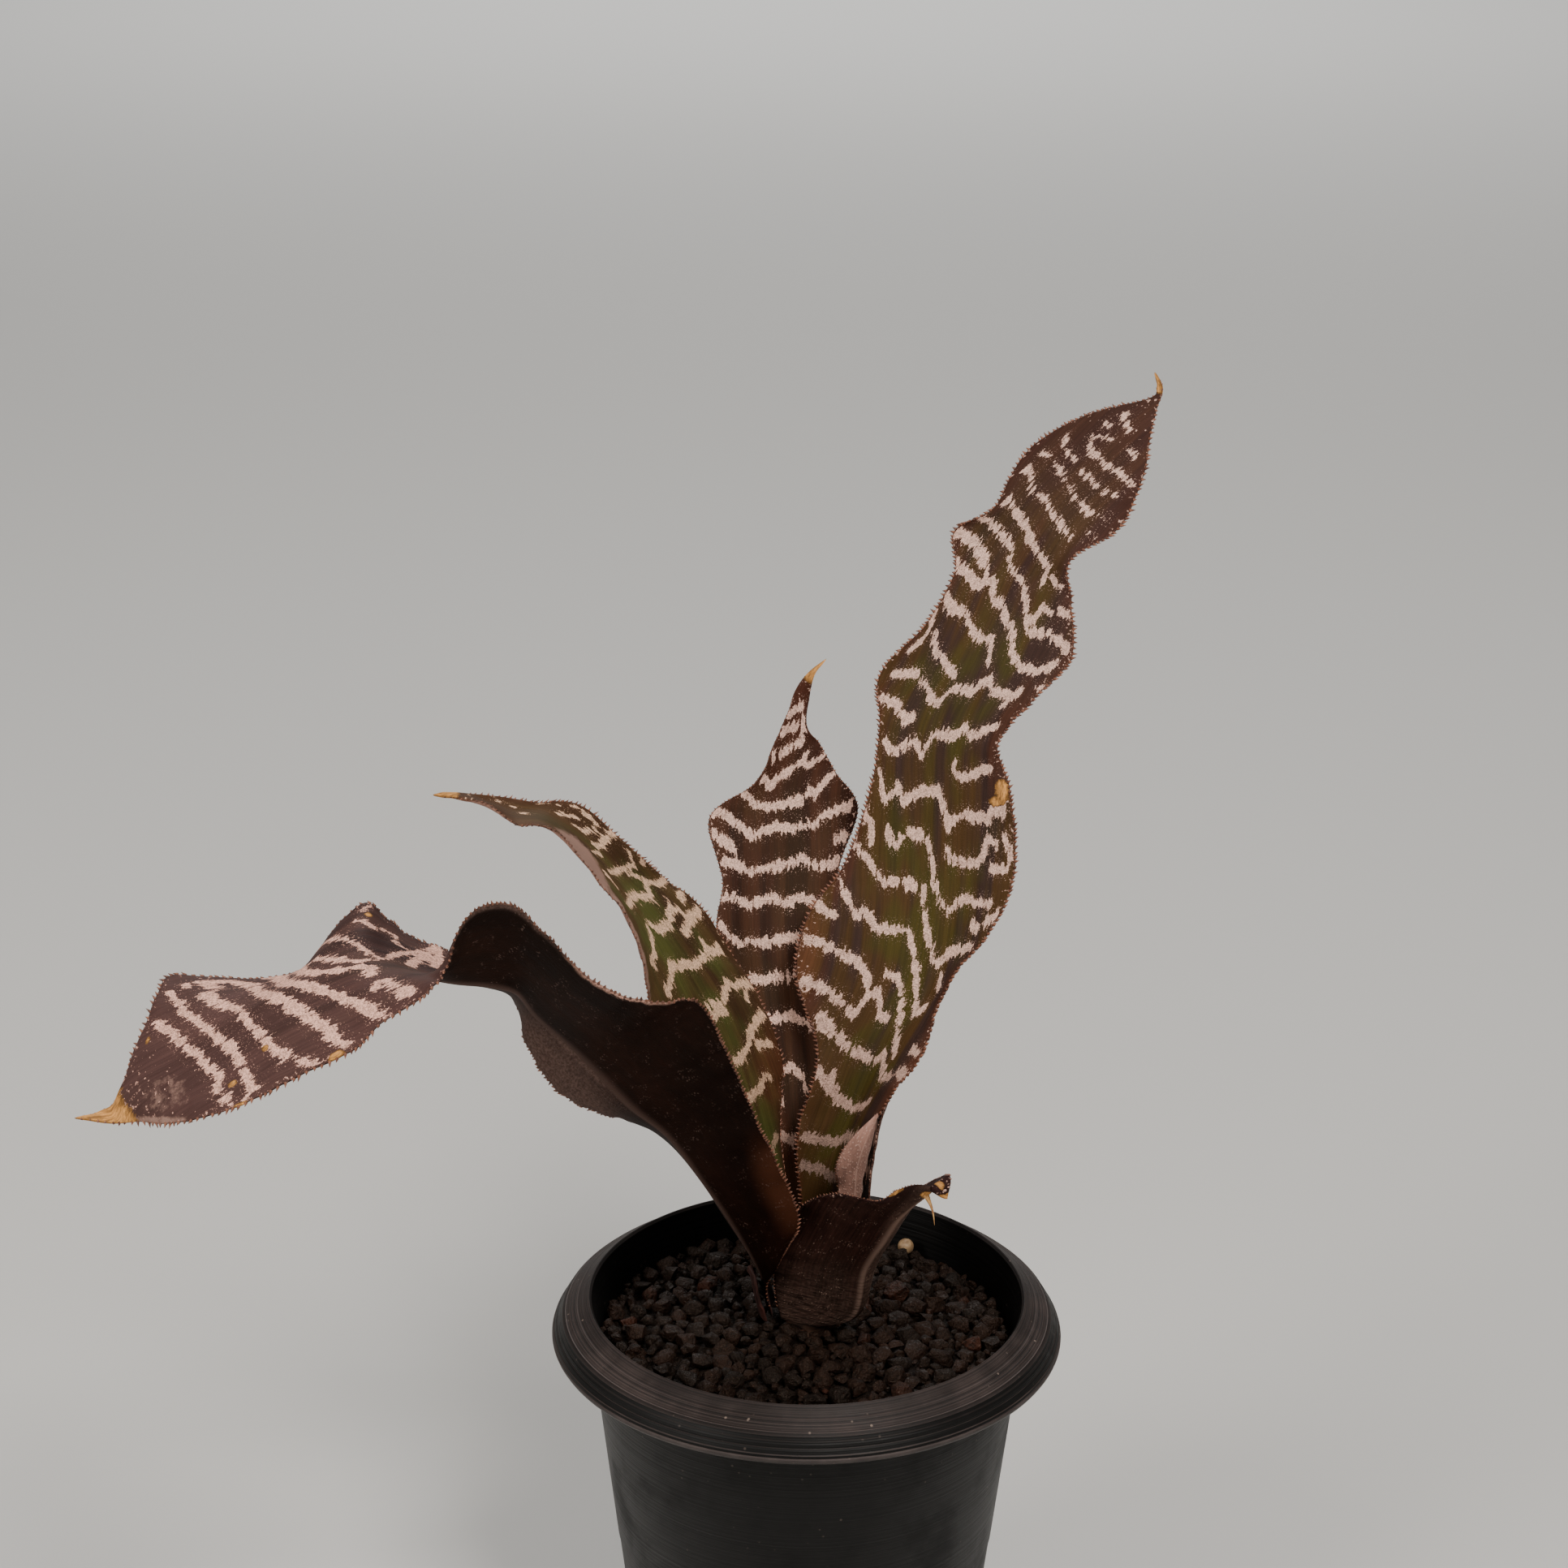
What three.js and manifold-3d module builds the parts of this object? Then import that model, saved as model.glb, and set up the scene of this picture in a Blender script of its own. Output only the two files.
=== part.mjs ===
// Earth star bromeliad (Cryptanthus) in a round black plastic pot.
// Millimetres, +Z up, origin at the centre of the pot's flat bottom.
// The plant's six leaves spring from one short stem; the largest hangs over the rim toward -X -Y.
import * as THREE from 'three';
import { mergeVertices } from 'three/addons/utils/BufferGeometryUtils.js';
import Module from 'manifold-3d';

const wasm = await Module();
wasm.setup();

// ---------- driving dimensions ----------
const POT_HEIGHT = 85;
const POT_FOOT_RADIUS = 29.2;
const POT_WALL = 1.2;
const POT_TAPER = 0.117; // radius gained per mm of height
const POT_FLOOR = 1.8;
const FOOT_CHAMFER = 1.2;
const FLOOR_CHAMFER = 1.5;
const RIM_RADIUS = 45;
const SKIRT_WIDTH = 2.2; // open band under the rim's outer edge
const SKIRT_FOOT = 77.4; // height of the skirt's lower edge
const SKIRT_BAND = 1.2; // height of the rim's upright outer edge
const GROOVE_HEIGHT = 81.3; // turned groove between the edge and the sloping top
const GROOVE_INSET = 1.8;
const LIP_WIDTH = 1.4; // flat crest round the mouth
const DRAIN_HOLES = 8;
const DRAIN_HOLE_RADIUS = 2.6;
const DRAIN_RING_RADIUS = 20;
const ROUND_SEGMENTS = 64;
const WELD_DISTANCE = 1e-4;

const FIT_GAP = 0.35; // clearance between the soil and the pot, and round the stem
const SOIL_CROWN = 79.6; // soil height beside the stem
const SOIL_EDGE_DROP = 2.4; // fall from the stem to the wall
const SOIL_TILT = 1.5; // extra fall toward the back right
const SOIL_TILT_AZIMUTH = 35; // degrees from +X
const GRAIN_RELIEF = 1.6; // height of the grains' relief
const GRAIN_SIZE = 3.1;
const SOIL_RINGS = 12;
const SOIL_FOOT_CHAMFER = 1.6;

const PLANT_X = 0.8;
const PLANT_Y = 0.8;
const STEM_RADIUS = 5.2;
const STEM_BOTTOM = 64;
const STEM_TOP = 97;
const STEM_SEGMENTS = 24;

const BLADE_THICKNESS = 0.9; // at the midrib
const MARGIN_THICKNESS = 0.62;
const TOOTH_LENGTH = 0.8;
const SPINE_RADIUS = 0.6;

const PELLET_RADIUS = 1.5;
const PELLET_PLACE = [18.3, 29];
const PELLET_LIFT = 0.3; // from the smoothed soil surface to the pellet's underside

// ---------- leaves ----------
// Each station is a point on the midrib, one on the left margin and one on the right margin,
// left and right as seen looking from the base to the tip with the upper face up.
// cup blends the cross-section from a sharp V (0) to a round trough (1).
// foldedMargin is the stretch of right margin that curls back over the blade near its base.
const LEAVES = [
  {
    name: 'leaf_right_tall',
    cup: 0.8,
    rowsPerStation: 3,
    stations: [
      [[3, 5, 87], [-1, 5, 87], [5.5, 1.5, 87]],
      [[3.5, 6, 98], [-1, 5, 98.5], [7.7, -1.5, 98.8]],
      [[5, 7.5, 107.5], [-2, 5, 108], [9.9, -2.5, 110.8]],
      [[8, 9, 115], [-1.5, 7, 114.5], [12, -1.5, 120.3]],
      [[12.5, 12, 125.5], [1.5, 13, 125.5], [19.5, 3, 130]],
      [[17, 17, 135.5], [-2.5, 21, 136.5], [23.5, 11, 138.5]],
      [[19.5, 22, 146], [-0.5, 27, 145.5], [32.5, 12.5, 151]],
      [[20.5, 27, 156.5], [6, 31, 154], [35.5, 17, 160.5]],
      [[21, 31, 167], [10.5, 34.5, 167], [34.5, 22, 171.5]],
      [[21.5, 35, 177], [12, 39, 177.5], [32.5, 26.5, 178.5]],
      [[25.5, 38, 187], [12, 45, 185], [39, 28.5, 186.5]],
      [[30, 41, 196], [20, 44.5, 194.5], [45, 30.5, 193]],
      [[33.5, 43.5, 204.5], [25, 47, 203.5], [45, 35, 202]],
      [[37, 45, 211], [25, 52.5, 209.5], [44.5, 36.5, 208.5]],
      [[41, 46, 216.5], [31.5, 49.5, 214.5], [53, 38, 214.5]],
      [[47.5, 47, 223.5], [37.5, 54, 223.5], [57, 41, 222.5]],
      [[54, 47.5, 230.5], [46.5, 52, 230.5], [58.5, 44.5, 229.5]],
      [[59, 48, 234.5], [58, 48.7, 234.7], [59.7, 47, 234]],
      [[60, 48, 237], [59.6, 48.3, 237], [60.4, 47.7, 237]],
      [[59, 48.5, 239.5], [59, 48.5, 239.5], [59, 48.5, 239.5]],
    ],
    foldedMargin: {
      cup: 0.8,
      rowsPerStation: 3,
      toothedSides: [1],
      stations: [
        [[5.9, -2.4, 93.4], [6.7, -0.6, 93], [4.8, -3, 94]],
        [[7.8, -4.2, 105.2], [9, -2, 104.6], [5.3, -5, 106.4]],
        [[8.2, -5, 111.7], [10, -2.4, 110.8], [4.8, -6, 112.9]],
        [[9.6, -4.6, 116.8], [11, -2.1, 116.1], [7.4, -5.4, 117.6]],
        [[11.9, -1.8, 120.8], [11.9, -1.8, 120.8], [11.9, -1.8, 120.8]],
      ],
    },
  },
  {
    name: 'leaf_back',
    cup: 0.8,
    rowsPerStation: 3,
    stations: [
      [[-0.5, 6.5, 83], [-3.3, 5.6, 83], [2.1, 6.7, 83]],
      [[-0.5, 9.5, 97], [-6, 8, 97], [3, 9, 97]],
      [[-2.5, 14, 110], [-8, 10, 111.5], [3, 12, 112]],
      [[-3.5, 20, 120], [-13, 14, 122.5], [4, 18, 121]],
      [[-4.5, 27, 129.5], [-16.5, 22, 132.5], [7, 25.5, 130.5]],
      [[-5.5, 34, 139], [-17, 30, 141], [7.5, 33.5, 140]],
      [[-5.5, 41, 148], [-16, 37.5, 148], [5, 41, 148]],
      [[-5.5, 46, 156.5], [-18.5, 44, 157.5], [8.5, 48, 158]],
      [[-5, 49.5, 163], [-10.5, 47.5, 163], [4.5, 50.5, 164]],
      [[-3.5, 52, 169.5], [-6.5, 51, 170.5], [1.5, 52, 169]],
      [[-2.5, 53, 174], [-4.5, 52, 175], [-1, 52.5, 172.5]],
      [[-2, 54, 178], [-3, 54, 179], [-0.5, 54, 177.5]],
      [[0, 54.5, 182], [-0.4, 54.5, 182.4], [0.4, 54.5, 181.6]],
      [[2.5, 55, 184.5], [2.5, 55, 184.5], [2.5, 55, 184.5]],
    ],
  },
  {
    name: 'leaf_left',
    cup: 0.8,
    rowsPerStation: 3,
    stations: [
      [[-3.5, 1.5, 86], [-3, -1.5, 86], [-2, 4, 86]],
      [[-4.5, 1.5, 99], [-4.5, -4.5, 101], [-3.5, 6, 99.5]],
      [[-8, 2, 113], [-8.5, -6, 112], [-5, 9, 113]],
      [[-12.5, 2, 127], [-16, -7.5, 120.5], [-4.5, 11, 124]],
      [[-17, 1.5, 139], [-22, -10, 130.5], [-7.5, 11.5, 133.5]],
      [[-22, 1, 148.5], [-26, -14, 144.5], [-13, 13, 143]],
      [[-27, 0.5, 156], [-27.5, -15.5, 154], [-19, 13.5, 152.5]],
      [[-32, 0, 162.5], [-30, -14.5, 161.5], [-25, 11.5, 158.5]],
      [[-37.5, -1, 169.5], [-35.5, -13, 168.5], [-30.5, 6.5, 166]],
      [[-44, -2, 174.5], [-42, -11, 175.5], [-39, 4.5, 174.5]],
      [[-49.5, -3, 176], [-48.5, -9.5, 176.5], [-46, 0.5, 176.5]],
      [[-54.5, -4, 178], [-53, -7.5, 179], [-53, -2, 178.5]],
      [[-58.5, -5, 179.5], [-58.5, -6, 179.5], [-58.5, -4, 179.5]],
      [[-62.5, -6, 180], [-62.5, -6, 180], [-62.5, -6, 180]],
    ],
  },
  {
    name: 'leaf_front_left',
    cup: 0.35,
    rowsPerStation: 3,
    stations: [
      [[-6.5, 0, 81.3], [-6, -3, 81.3], [-5.5, 3.5, 81.3]],
      [[-7.5, -3, 87.5], [-7, -5.5, 88.5], [-7.5, 3.5, 87.5]],
      [[-8, -7.5, 93], [-4.5, -9.5, 96.5], [-9.5, 2.5, 94]],
      [[-12.5, -12, 104], [-1.5, -14, 106.5], [-16, 0, 104]],
      [[-17.5, -17, 115], [-5, -20, 119.5], [-20.5, -5, 116.5]],
      [[-23.2, -21.2, 125.6], [-9.5, -27, 134], [-27, -11, 123]],
      [[-29, -27, 133.7], [-13, -33, 146], [-32.5, -18, 127.5]],
      [[-34, -33.4, 142.5], [-17.5, -41, 158.5], [-39, -26, 134]],
      [[-38.7, -39.4, 151], [-26, -48, 162], [-43, -33, 142.5]],
      [[-42.7, -43.8, 157.4], [-34, -53, 168], [-45.5, -37.5, 151.5]],
      [[-45.3, -48.3, 163.4], [-40, -57, 177], [-46, -40, 158.5]],
      [[-49, -54, 167], [-45, -61, 183.5], [-50, -43, 164]],
      [[-53.5, -57.5, 169], [-50.5, -67, 184], [-55, -44.5, 168]],
      [[-58, -61, 171.5], [-53, -73, 178], [-60.5, -47, 171.5]],
      [[-62.5, -64.5, 174.5], [-55.5, -77, 176], [-64.5, -50, 176]],
      [[-67, -67.5, 176], [-62, -80, 172], [-68, -52, 179.5]],
      [[-72, -70, 175], [-66, -83, 169], [-73, -54.5, 175.5]],
      [[-77, -72.5, 173.5], [-72, -85.5, 167], [-76, -58, 171.5]],
      [[-82, -74.5, 171], [-77, -88, 165], [-84, -60, 170]],
      [[-87, -76.5, 168], [-82.5, -90, 163], [-95, -62, 172]],
      [[-92, -78, 165], [-88.5, -90, 161.5], [-97, -68, 170.5]],
      [[-96.5, -79.5, 163], [-93, -87.5, 159.5], [-99, -74, 165.5]],
      [[-100, -80.5, 160.5], [-97, -84, 158], [-100, -79, 161.5]],
      [[-101.8, -81, 157.5], [-101.3, -82.5, 157], [-102.2, -79.5, 158]],
      [[-107, -82, 157.5], [-107, -82, 157.5], [-107, -82, 157.5]],
    ],
  },
  {
    name: 'leaf_front_small',
    cup: 0.5,
    rowsPerStation: 4,
    stations: [
      [[1.5, -5.5, 81.3], [6.5, -2.5, 81.3], [-4.5, -3.5, 81.3]],
      [[8.2, -8.8, 85.2], [8.8, -4.8, 86], [-5.6, -4.4, 86.8]],
      [[10, -12.5, 96], [11.5, -6, 95], [-5.5, -6.5, 95.5]],
      [[13, -17, 104], [14, -8, 102.5], [-1.5, -9, 106]],
      [[15, -21, 110], [17, -12, 109], [4.5, -13, 111]],
      [[17, -24.5, 114.5], [18.5, -17.5, 114], [11.5, -19.5, 113]],
      [[19, -27.5, 118], [22, -23, 119.5], [15, -24, 117.5]],
      [[20.5, -29.5, 120.5], [23.5, -28, 122], [19, -28, 120.5]],
      [[23, -30, 119], [23, -30, 119], [23, -30, 119]],
    ],
    hangingSpine: { root: [19.4, -28, 118.8], tip: [21, -29.2, 113.7] },
  },
  {
    name: 'leaf_back_right',
    cup: 0.8,
    rowsPerStation: 3,
    stations: [
      [[5.4, 4.4, 83], [4.2, 6.2, 83], [6.6, 1.2, 83]],
      [[9, 7, 97], [6, 9, 98.5], [10.5, 2, 99]],
      [[10.5, 11.5, 107], [6, 14, 108.5], [11.5, 7.5, 109]],
      [[12.5, 17, 117], [7.5, 20.5, 118], [15, 13, 119]],
      [[16, 22, 128], [10, 26.5, 128.5], [19.5, 18.5, 130]],
      [[19, 27, 137], [12.5, 31.5, 137], [23.5, 23, 139]],
      [[21, 32, 145], [15.5, 35.5, 144.5], [24.5, 28.5, 146.5]],
      [[22.5, 36, 151.5], [19, 38.5, 151], [25, 34, 152.5]],
      [[24, 40, 157], [22.8, 40.5, 157], [25, 39.3, 157]],
      [[25, 42.5, 161], [25, 42.5, 161], [25, 42.5, 161]],
    ],
  },
  {
    name: 'dried_sheath',
    cup: 0.7,
    rowsPerStation: 3,
    stations: [
      [[-7.9, -2, 81.3], [-6.9, -4.8, 81.3], [-7.9, 1, 81.3]],
      [[-8.8, -3.2, 86], [-8.2, -6.4, 86.5], [-9, 0.6, 85.5]],
      [[-9.5, -4.4, 90.5], [-9.2, -6.8, 91.2], [-9.9, -1.4, 89.5]],
      [[-10, -5.2, 92.8], [-10, -5.2, 92.8], [-10, -5.2, 92.8]],
    ],
  },
];
const BLADE_COLUMNS = 6; // across the blade, half of them on each side of the midrib
const ALONG_STEP = 0.004; // shares of the blade over which a normal is measured
const ACROSS_STEP = 0.1;
const TOOTH_PLACE = 0.75; // how far along its stretch of margin each tooth's point stands
const FULL_TOOTH_WIDTH = 2.5; // narrower stretches of blade carry shorter teeth

// ---------- materials ----------
const materials = {
  plastic: { color: 0x1d1c1c, roughness: 0.42, metalness: 0 },
  soil: { color: 0x2a1f1a, roughness: 0.95, metalness: 0 },
  stem: { color: 0x4a3226, roughness: 0.8, metalness: 0 },
  leaf: { color: 0x5b4a42, roughness: 0.55, metalness: 0 },
  driedLeaf: { color: 0x6b3f2c, roughness: 0.85, metalness: 0 },
  pellet: { color: 0xa8906c, roughness: 0.6, metalness: 0 },
};

// ---------- shared helpers ----------
const radians = THREE.MathUtils.degToRad;

function potOuterRadius(z) {
  return POT_FOOT_RADIUS + POT_TAPER * z;
}

function potInnerRadius(z) {
  return potOuterRadius(z) - POT_WALL;
}

/** Closed position-only geometry with shared vertices and no collapsed triangles. */
function welded(geometry) {
  const bare = geometry.clone();
  bare.deleteAttribute('normal');
  bare.deleteAttribute('uv');
  const merged = mergeVertices(bare, WELD_DISTANCE);
  const index = Array.from(merged.index.array);
  const kept = [];
  for (let i = 0; i < index.length; i += 3) {
    const [a, b, c] = index.slice(i, i + 3);
    if (a !== b && b !== c && c !== a) {
      kept.push(a, b, c);
    }
  }
  merged.setIndex(kept);
  return merged;
}

function toSolid(geometry) {
  const closed = welded(geometry);
  const vertProperties = new Float32Array(closed.attributes.position.array);
  const triVerts = new Uint32Array(closed.index.array);
  return new wasm.Manifold(new wasm.Mesh({ numProp: 3, vertProperties, triVerts }));
}

function toGeometry(solid) {
  const mesh = solid.getMesh();
  const geometry = new THREE.BufferGeometry();
  geometry.setAttribute('position', new THREE.BufferAttribute(mesh.vertProperties, 3));
  geometry.setIndex(new THREE.BufferAttribute(mesh.triVerts, 1));
  return geometry;
}

/** Solid of revolution about +Z from [radius, height] points that start and end on the axis. */
function turned(profile, segments) {
  const points = profile.map(([radius, height]) => new THREE.Vector2(radius, height));
  const geometry = new THREE.LatheGeometry(points, segments);
  geometry.rotateX(Math.PI / 2);
  return geometry;
}

function part(name, geometry, material) {
  const mesh = new THREE.Mesh(geometry, new THREE.MeshStandardMaterial(material));
  mesh.name = name;
  return mesh;
}

// ---------- pot ----------
/** Thin-walled tapered pot with a sloping turned rim whose skirt is open underneath. */
function potGeometry() {
  const mouthRadius = potInnerRadius(POT_HEIGHT);
  const skirtRoof = GROOVE_HEIGHT - 0.5;
  const shell = turned([
    [0, 0],
    [POT_FOOT_RADIUS - FOOT_CHAMFER, 0],
    [potOuterRadius(FOOT_CHAMFER), FOOT_CHAMFER],
    [potOuterRadius(SKIRT_FOOT), SKIRT_FOOT],
    [potOuterRadius(skirtRoof), skirtRoof],
    [RIM_RADIUS - SKIRT_WIDTH, skirtRoof - 1.4],
    [RIM_RADIUS - SKIRT_WIDTH + 0.8, SKIRT_FOOT + 0.2],
    [RIM_RADIUS - 0.3, SKIRT_FOOT],
    [RIM_RADIUS, SKIRT_FOOT + 0.6],
    [RIM_RADIUS, SKIRT_FOOT + SKIRT_BAND],
    [RIM_RADIUS - 0.4, SKIRT_FOOT + SKIRT_BAND + 0.9],
    [RIM_RADIUS - GROOVE_INSET + 0.2, GROOVE_HEIGHT - 0.2],
    [RIM_RADIUS - GROOVE_INSET, GROOVE_HEIGHT + 0.2],
    [mouthRadius + LIP_WIDTH, POT_HEIGHT - 0.6],
    [mouthRadius + 0.5, POT_HEIGHT],
    [mouthRadius, POT_HEIGHT - 0.5],
    [potInnerRadius(POT_FLOOR + FLOOR_CHAMFER), POT_FLOOR + FLOOR_CHAMFER],
    [potInnerRadius(POT_FLOOR) - FLOOR_CHAMFER, POT_FLOOR],
    [0, POT_FLOOR],
  ], ROUND_SEGMENTS);
  let solid = toSolid(shell);
  for (let i = 0; i < DRAIN_HOLES; i += 1) {
    const angle = (2 * Math.PI * i) / DRAIN_HOLES;
    const hole = new THREE.CylinderGeometry(DRAIN_HOLE_RADIUS, DRAIN_HOLE_RADIUS, 3 * POT_FLOOR, 16);
    hole.rotateX(Math.PI / 2);
    hole.translate(DRAIN_RING_RADIUS * Math.cos(angle), DRAIN_RING_RADIUS * Math.sin(angle), POT_FLOOR / 2);
    solid = solid.subtract(toSolid(hole));
  }
  return toGeometry(solid);
}

// ---------- soil ----------
/** Height of the smoothed soil surface at a place in the pot. */
function soilLevel(x, y) {
  const radius = Math.hypot(x - PLANT_X, y - PLANT_Y);
  const share = Math.min(1, radius / potInnerRadius(POT_HEIGHT));
  const azimuth = radians(SOIL_TILT_AZIMUTH);
  const alongTilt = (x * Math.cos(azimuth) + y * Math.sin(azimuth)) / potInnerRadius(POT_HEIGHT);
  return SOIL_CROWN - SOIL_EDGE_DROP * share * share - SOIL_TILT * Math.max(0, alongTilt) * share;
}

/** Repeatable value from 0 to 1 for one cell of the grains' lattice. */
function cellValue(column, row) {
  const mixed = Math.sin(column * 127.1 + row * 311.7) * 43758.5453;
  return mixed - Math.floor(mixed);
}

/** Height of the grains above or below the smoothed surface, the same for a whole grain. */
function grainRelief(x, y) {
  let nearest = Infinity;
  let relief = 0;
  const column = Math.floor(x / GRAIN_SIZE);
  const row = Math.floor(y / GRAIN_SIZE);
  for (let i = column - 1; i <= column + 1; i += 1) {
    for (let j = row - 1; j <= row + 1; j += 1) {
      const grainX = (i + 0.2 + 0.6 * cellValue(i, j)) * GRAIN_SIZE;
      const grainY = (j + 0.2 + 0.6 * cellValue(j + 57, i)) * GRAIN_SIZE;
      const distance = Math.hypot(x - grainX, y - grainY);
      if (distance < nearest) {
        nearest = distance;
        relief = GRAIN_RELIEF * (cellValue(i + 23, j + 91) - 0.35 - 0.35 * (distance / GRAIN_SIZE));
      }
    }
  }
  return relief;
}

/** Soil filling the pot: a granular top, a tapered wall, a flat bottom and a plain hole for the stem. */
function soilGeometry() {
  const bottom = POT_FLOOR + FIT_GAP;
  const holeRadius = STEM_RADIUS + FIT_GAP;
  const holeBottom = STEM_BOTTOM - FIT_GAP;
  const wallRadius = potInnerRadius(SOIL_CROWN - SOIL_EDGE_DROP - SOIL_TILT) - FIT_GAP;
  const positions = [];
  const index = [];
  const addRing = (placeAt, heightAt) => {
    const start = positions.length / 3;
    for (let s = 0; s < ROUND_SEGMENTS; s += 1) {
      const angle = (2 * Math.PI * s) / ROUND_SEGMENTS;
      const [x, y] = placeAt(angle);
      positions.push(x, y, heightAt(x, y));
    }
    return start;
  };
  const join = (lower, upper) => {
    for (let s = 0; s < ROUND_SEGMENTS; s += 1) {
      const next = (s + 1) % ROUND_SEGMENTS;
      index.push(lower + s, lower + next, upper + next);
      index.push(lower + s, upper + next, upper + s);
    }
  };
  const cap = (ring, x, y, z, up) => {
    const centre = positions.length / 3;
    positions.push(x, y, z);
    for (let s = 0; s < ROUND_SEGMENTS; s += 1) {
      const next = (s + 1) % ROUND_SEGMENTS;
      if (up) {
        index.push(ring + s, ring + next, centre);
      } else {
        index.push(ring + next, ring + s, centre);
      }
    }
  };
  const aroundPot = (radius) => (angle) => [radius * Math.cos(angle), radius * Math.sin(angle)];
  const aroundStem = (radius) => (angle) => [
    PLANT_X + radius * Math.cos(angle),
    PLANT_Y + radius * Math.sin(angle),
  ];
  const foot = bottom + SOIL_FOOT_CHAMFER;
  const footRadius = potInnerRadius(foot) - FIT_GAP;
  const bottomRing = addRing(aroundPot(footRadius - SOIL_FOOT_CHAMFER - 0.2), () => bottom);
  const footRing = addRing(aroundPot(footRadius), () => foot);
  cap(bottomRing, 0, 0, bottom, false);
  join(bottomRing, footRing);
  let previous = footRing;
  for (let ring = 0; ring <= SOIL_RINGS; ring += 1) {
    const inward = ring / SOIL_RINGS;
    const grain = ring === 0 || ring === SOIL_RINGS ? 0 : 1;
    const radius = THREE.MathUtils.lerp(wallRadius, holeRadius, inward);
    const next = addRing(
      (angle) => [
        PLANT_X * inward + radius * Math.cos(angle),
        PLANT_Y * inward + radius * Math.sin(angle),
      ],
      (x, y) => soilLevel(x, y) + grain * grainRelief(x, y),
    );
    join(previous, next);
    previous = next;
  }
  const holeRing = addRing(aroundStem(holeRadius), () => holeBottom);
  join(previous, holeRing);
  cap(holeRing, PLANT_X, PLANT_Y, holeBottom, true);
  const geometry = new THREE.BufferGeometry();
  geometry.setAttribute('position', new THREE.Float32BufferAttribute(positions, 3));
  geometry.setIndex(index);
  return geometry;
}

// ---------- stem ----------
/** Short woody stem, thick in the soil and drawn to a point between the leaf bases. */
function stemGeometry() {
  const stem = turned([
    [0, STEM_BOTTOM],
    [STEM_RADIUS - 1.2, STEM_BOTTOM + 0.6],
    [STEM_RADIUS - 0.4, STEM_BOTTOM + 6],
    [STEM_RADIUS, SOIL_CROWN - 1],
    [STEM_RADIUS - 0.3, SOIL_CROWN + 3],
    [STEM_RADIUS - 1.8, SOIL_CROWN + 5.6],
    [STEM_RADIUS - 2.6, SOIL_CROWN + 10],
    [STEM_RADIUS - 3.6, STEM_TOP - 3],
    [0, STEM_TOP],
  ], STEM_SEGMENTS);
  stem.translate(PLANT_X, PLANT_Y, 0);
  return welded(stem);
}

// ---------- leaves ----------
/** Surface of a blade: along runs 0 to 1 from base to tip, across runs -1 (left) to 1 (right). */
class Blade {
  constructor({ stations, cup }) {
    const rail = (column) => new THREE.CatmullRomCurve3(
      stations.map((station) => new THREE.Vector3(...station[column])),
      false,
      'catmullrom',
      0.5,
    );
    this.rib = rail(0);
    this.left = rail(1);
    this.right = rail(2);
    this.cup = cup;
  }

  point(along, across) {
    const rib = this.rib.getPoint(along);
    const left = this.left.getPoint(along).sub(rib);
    const right = this.right.getPoint(along).sub(rib);
    const folded = (across < 0 ? left : right).clone().multiplyScalar(Math.abs(across));
    const trough = right.clone().sub(left).multiplyScalar(across / 2);
    trough.addScaledVector(right.clone().add(left), (across * across) / 2);
    return rib.add(folded.lerp(trough, this.cup));
  }

  /** Unit normal that points out of the blade's lower face. */
  normal(along, across) {
    const alongA = Math.max(0, along - ALONG_STEP);
    const alongB = Math.min(1, along + ALONG_STEP);
    const acrossA = Math.max(-1, across - ACROSS_STEP);
    const acrossB = Math.min(1, across + ACROSS_STEP);
    const lengthwise = this.point(alongB, across).sub(this.point(alongA, across));
    const crosswise = this.point(along, acrossB).sub(this.point(along, acrossA));
    return lengthwise.cross(crosswise).normalize();
  }
}

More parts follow.
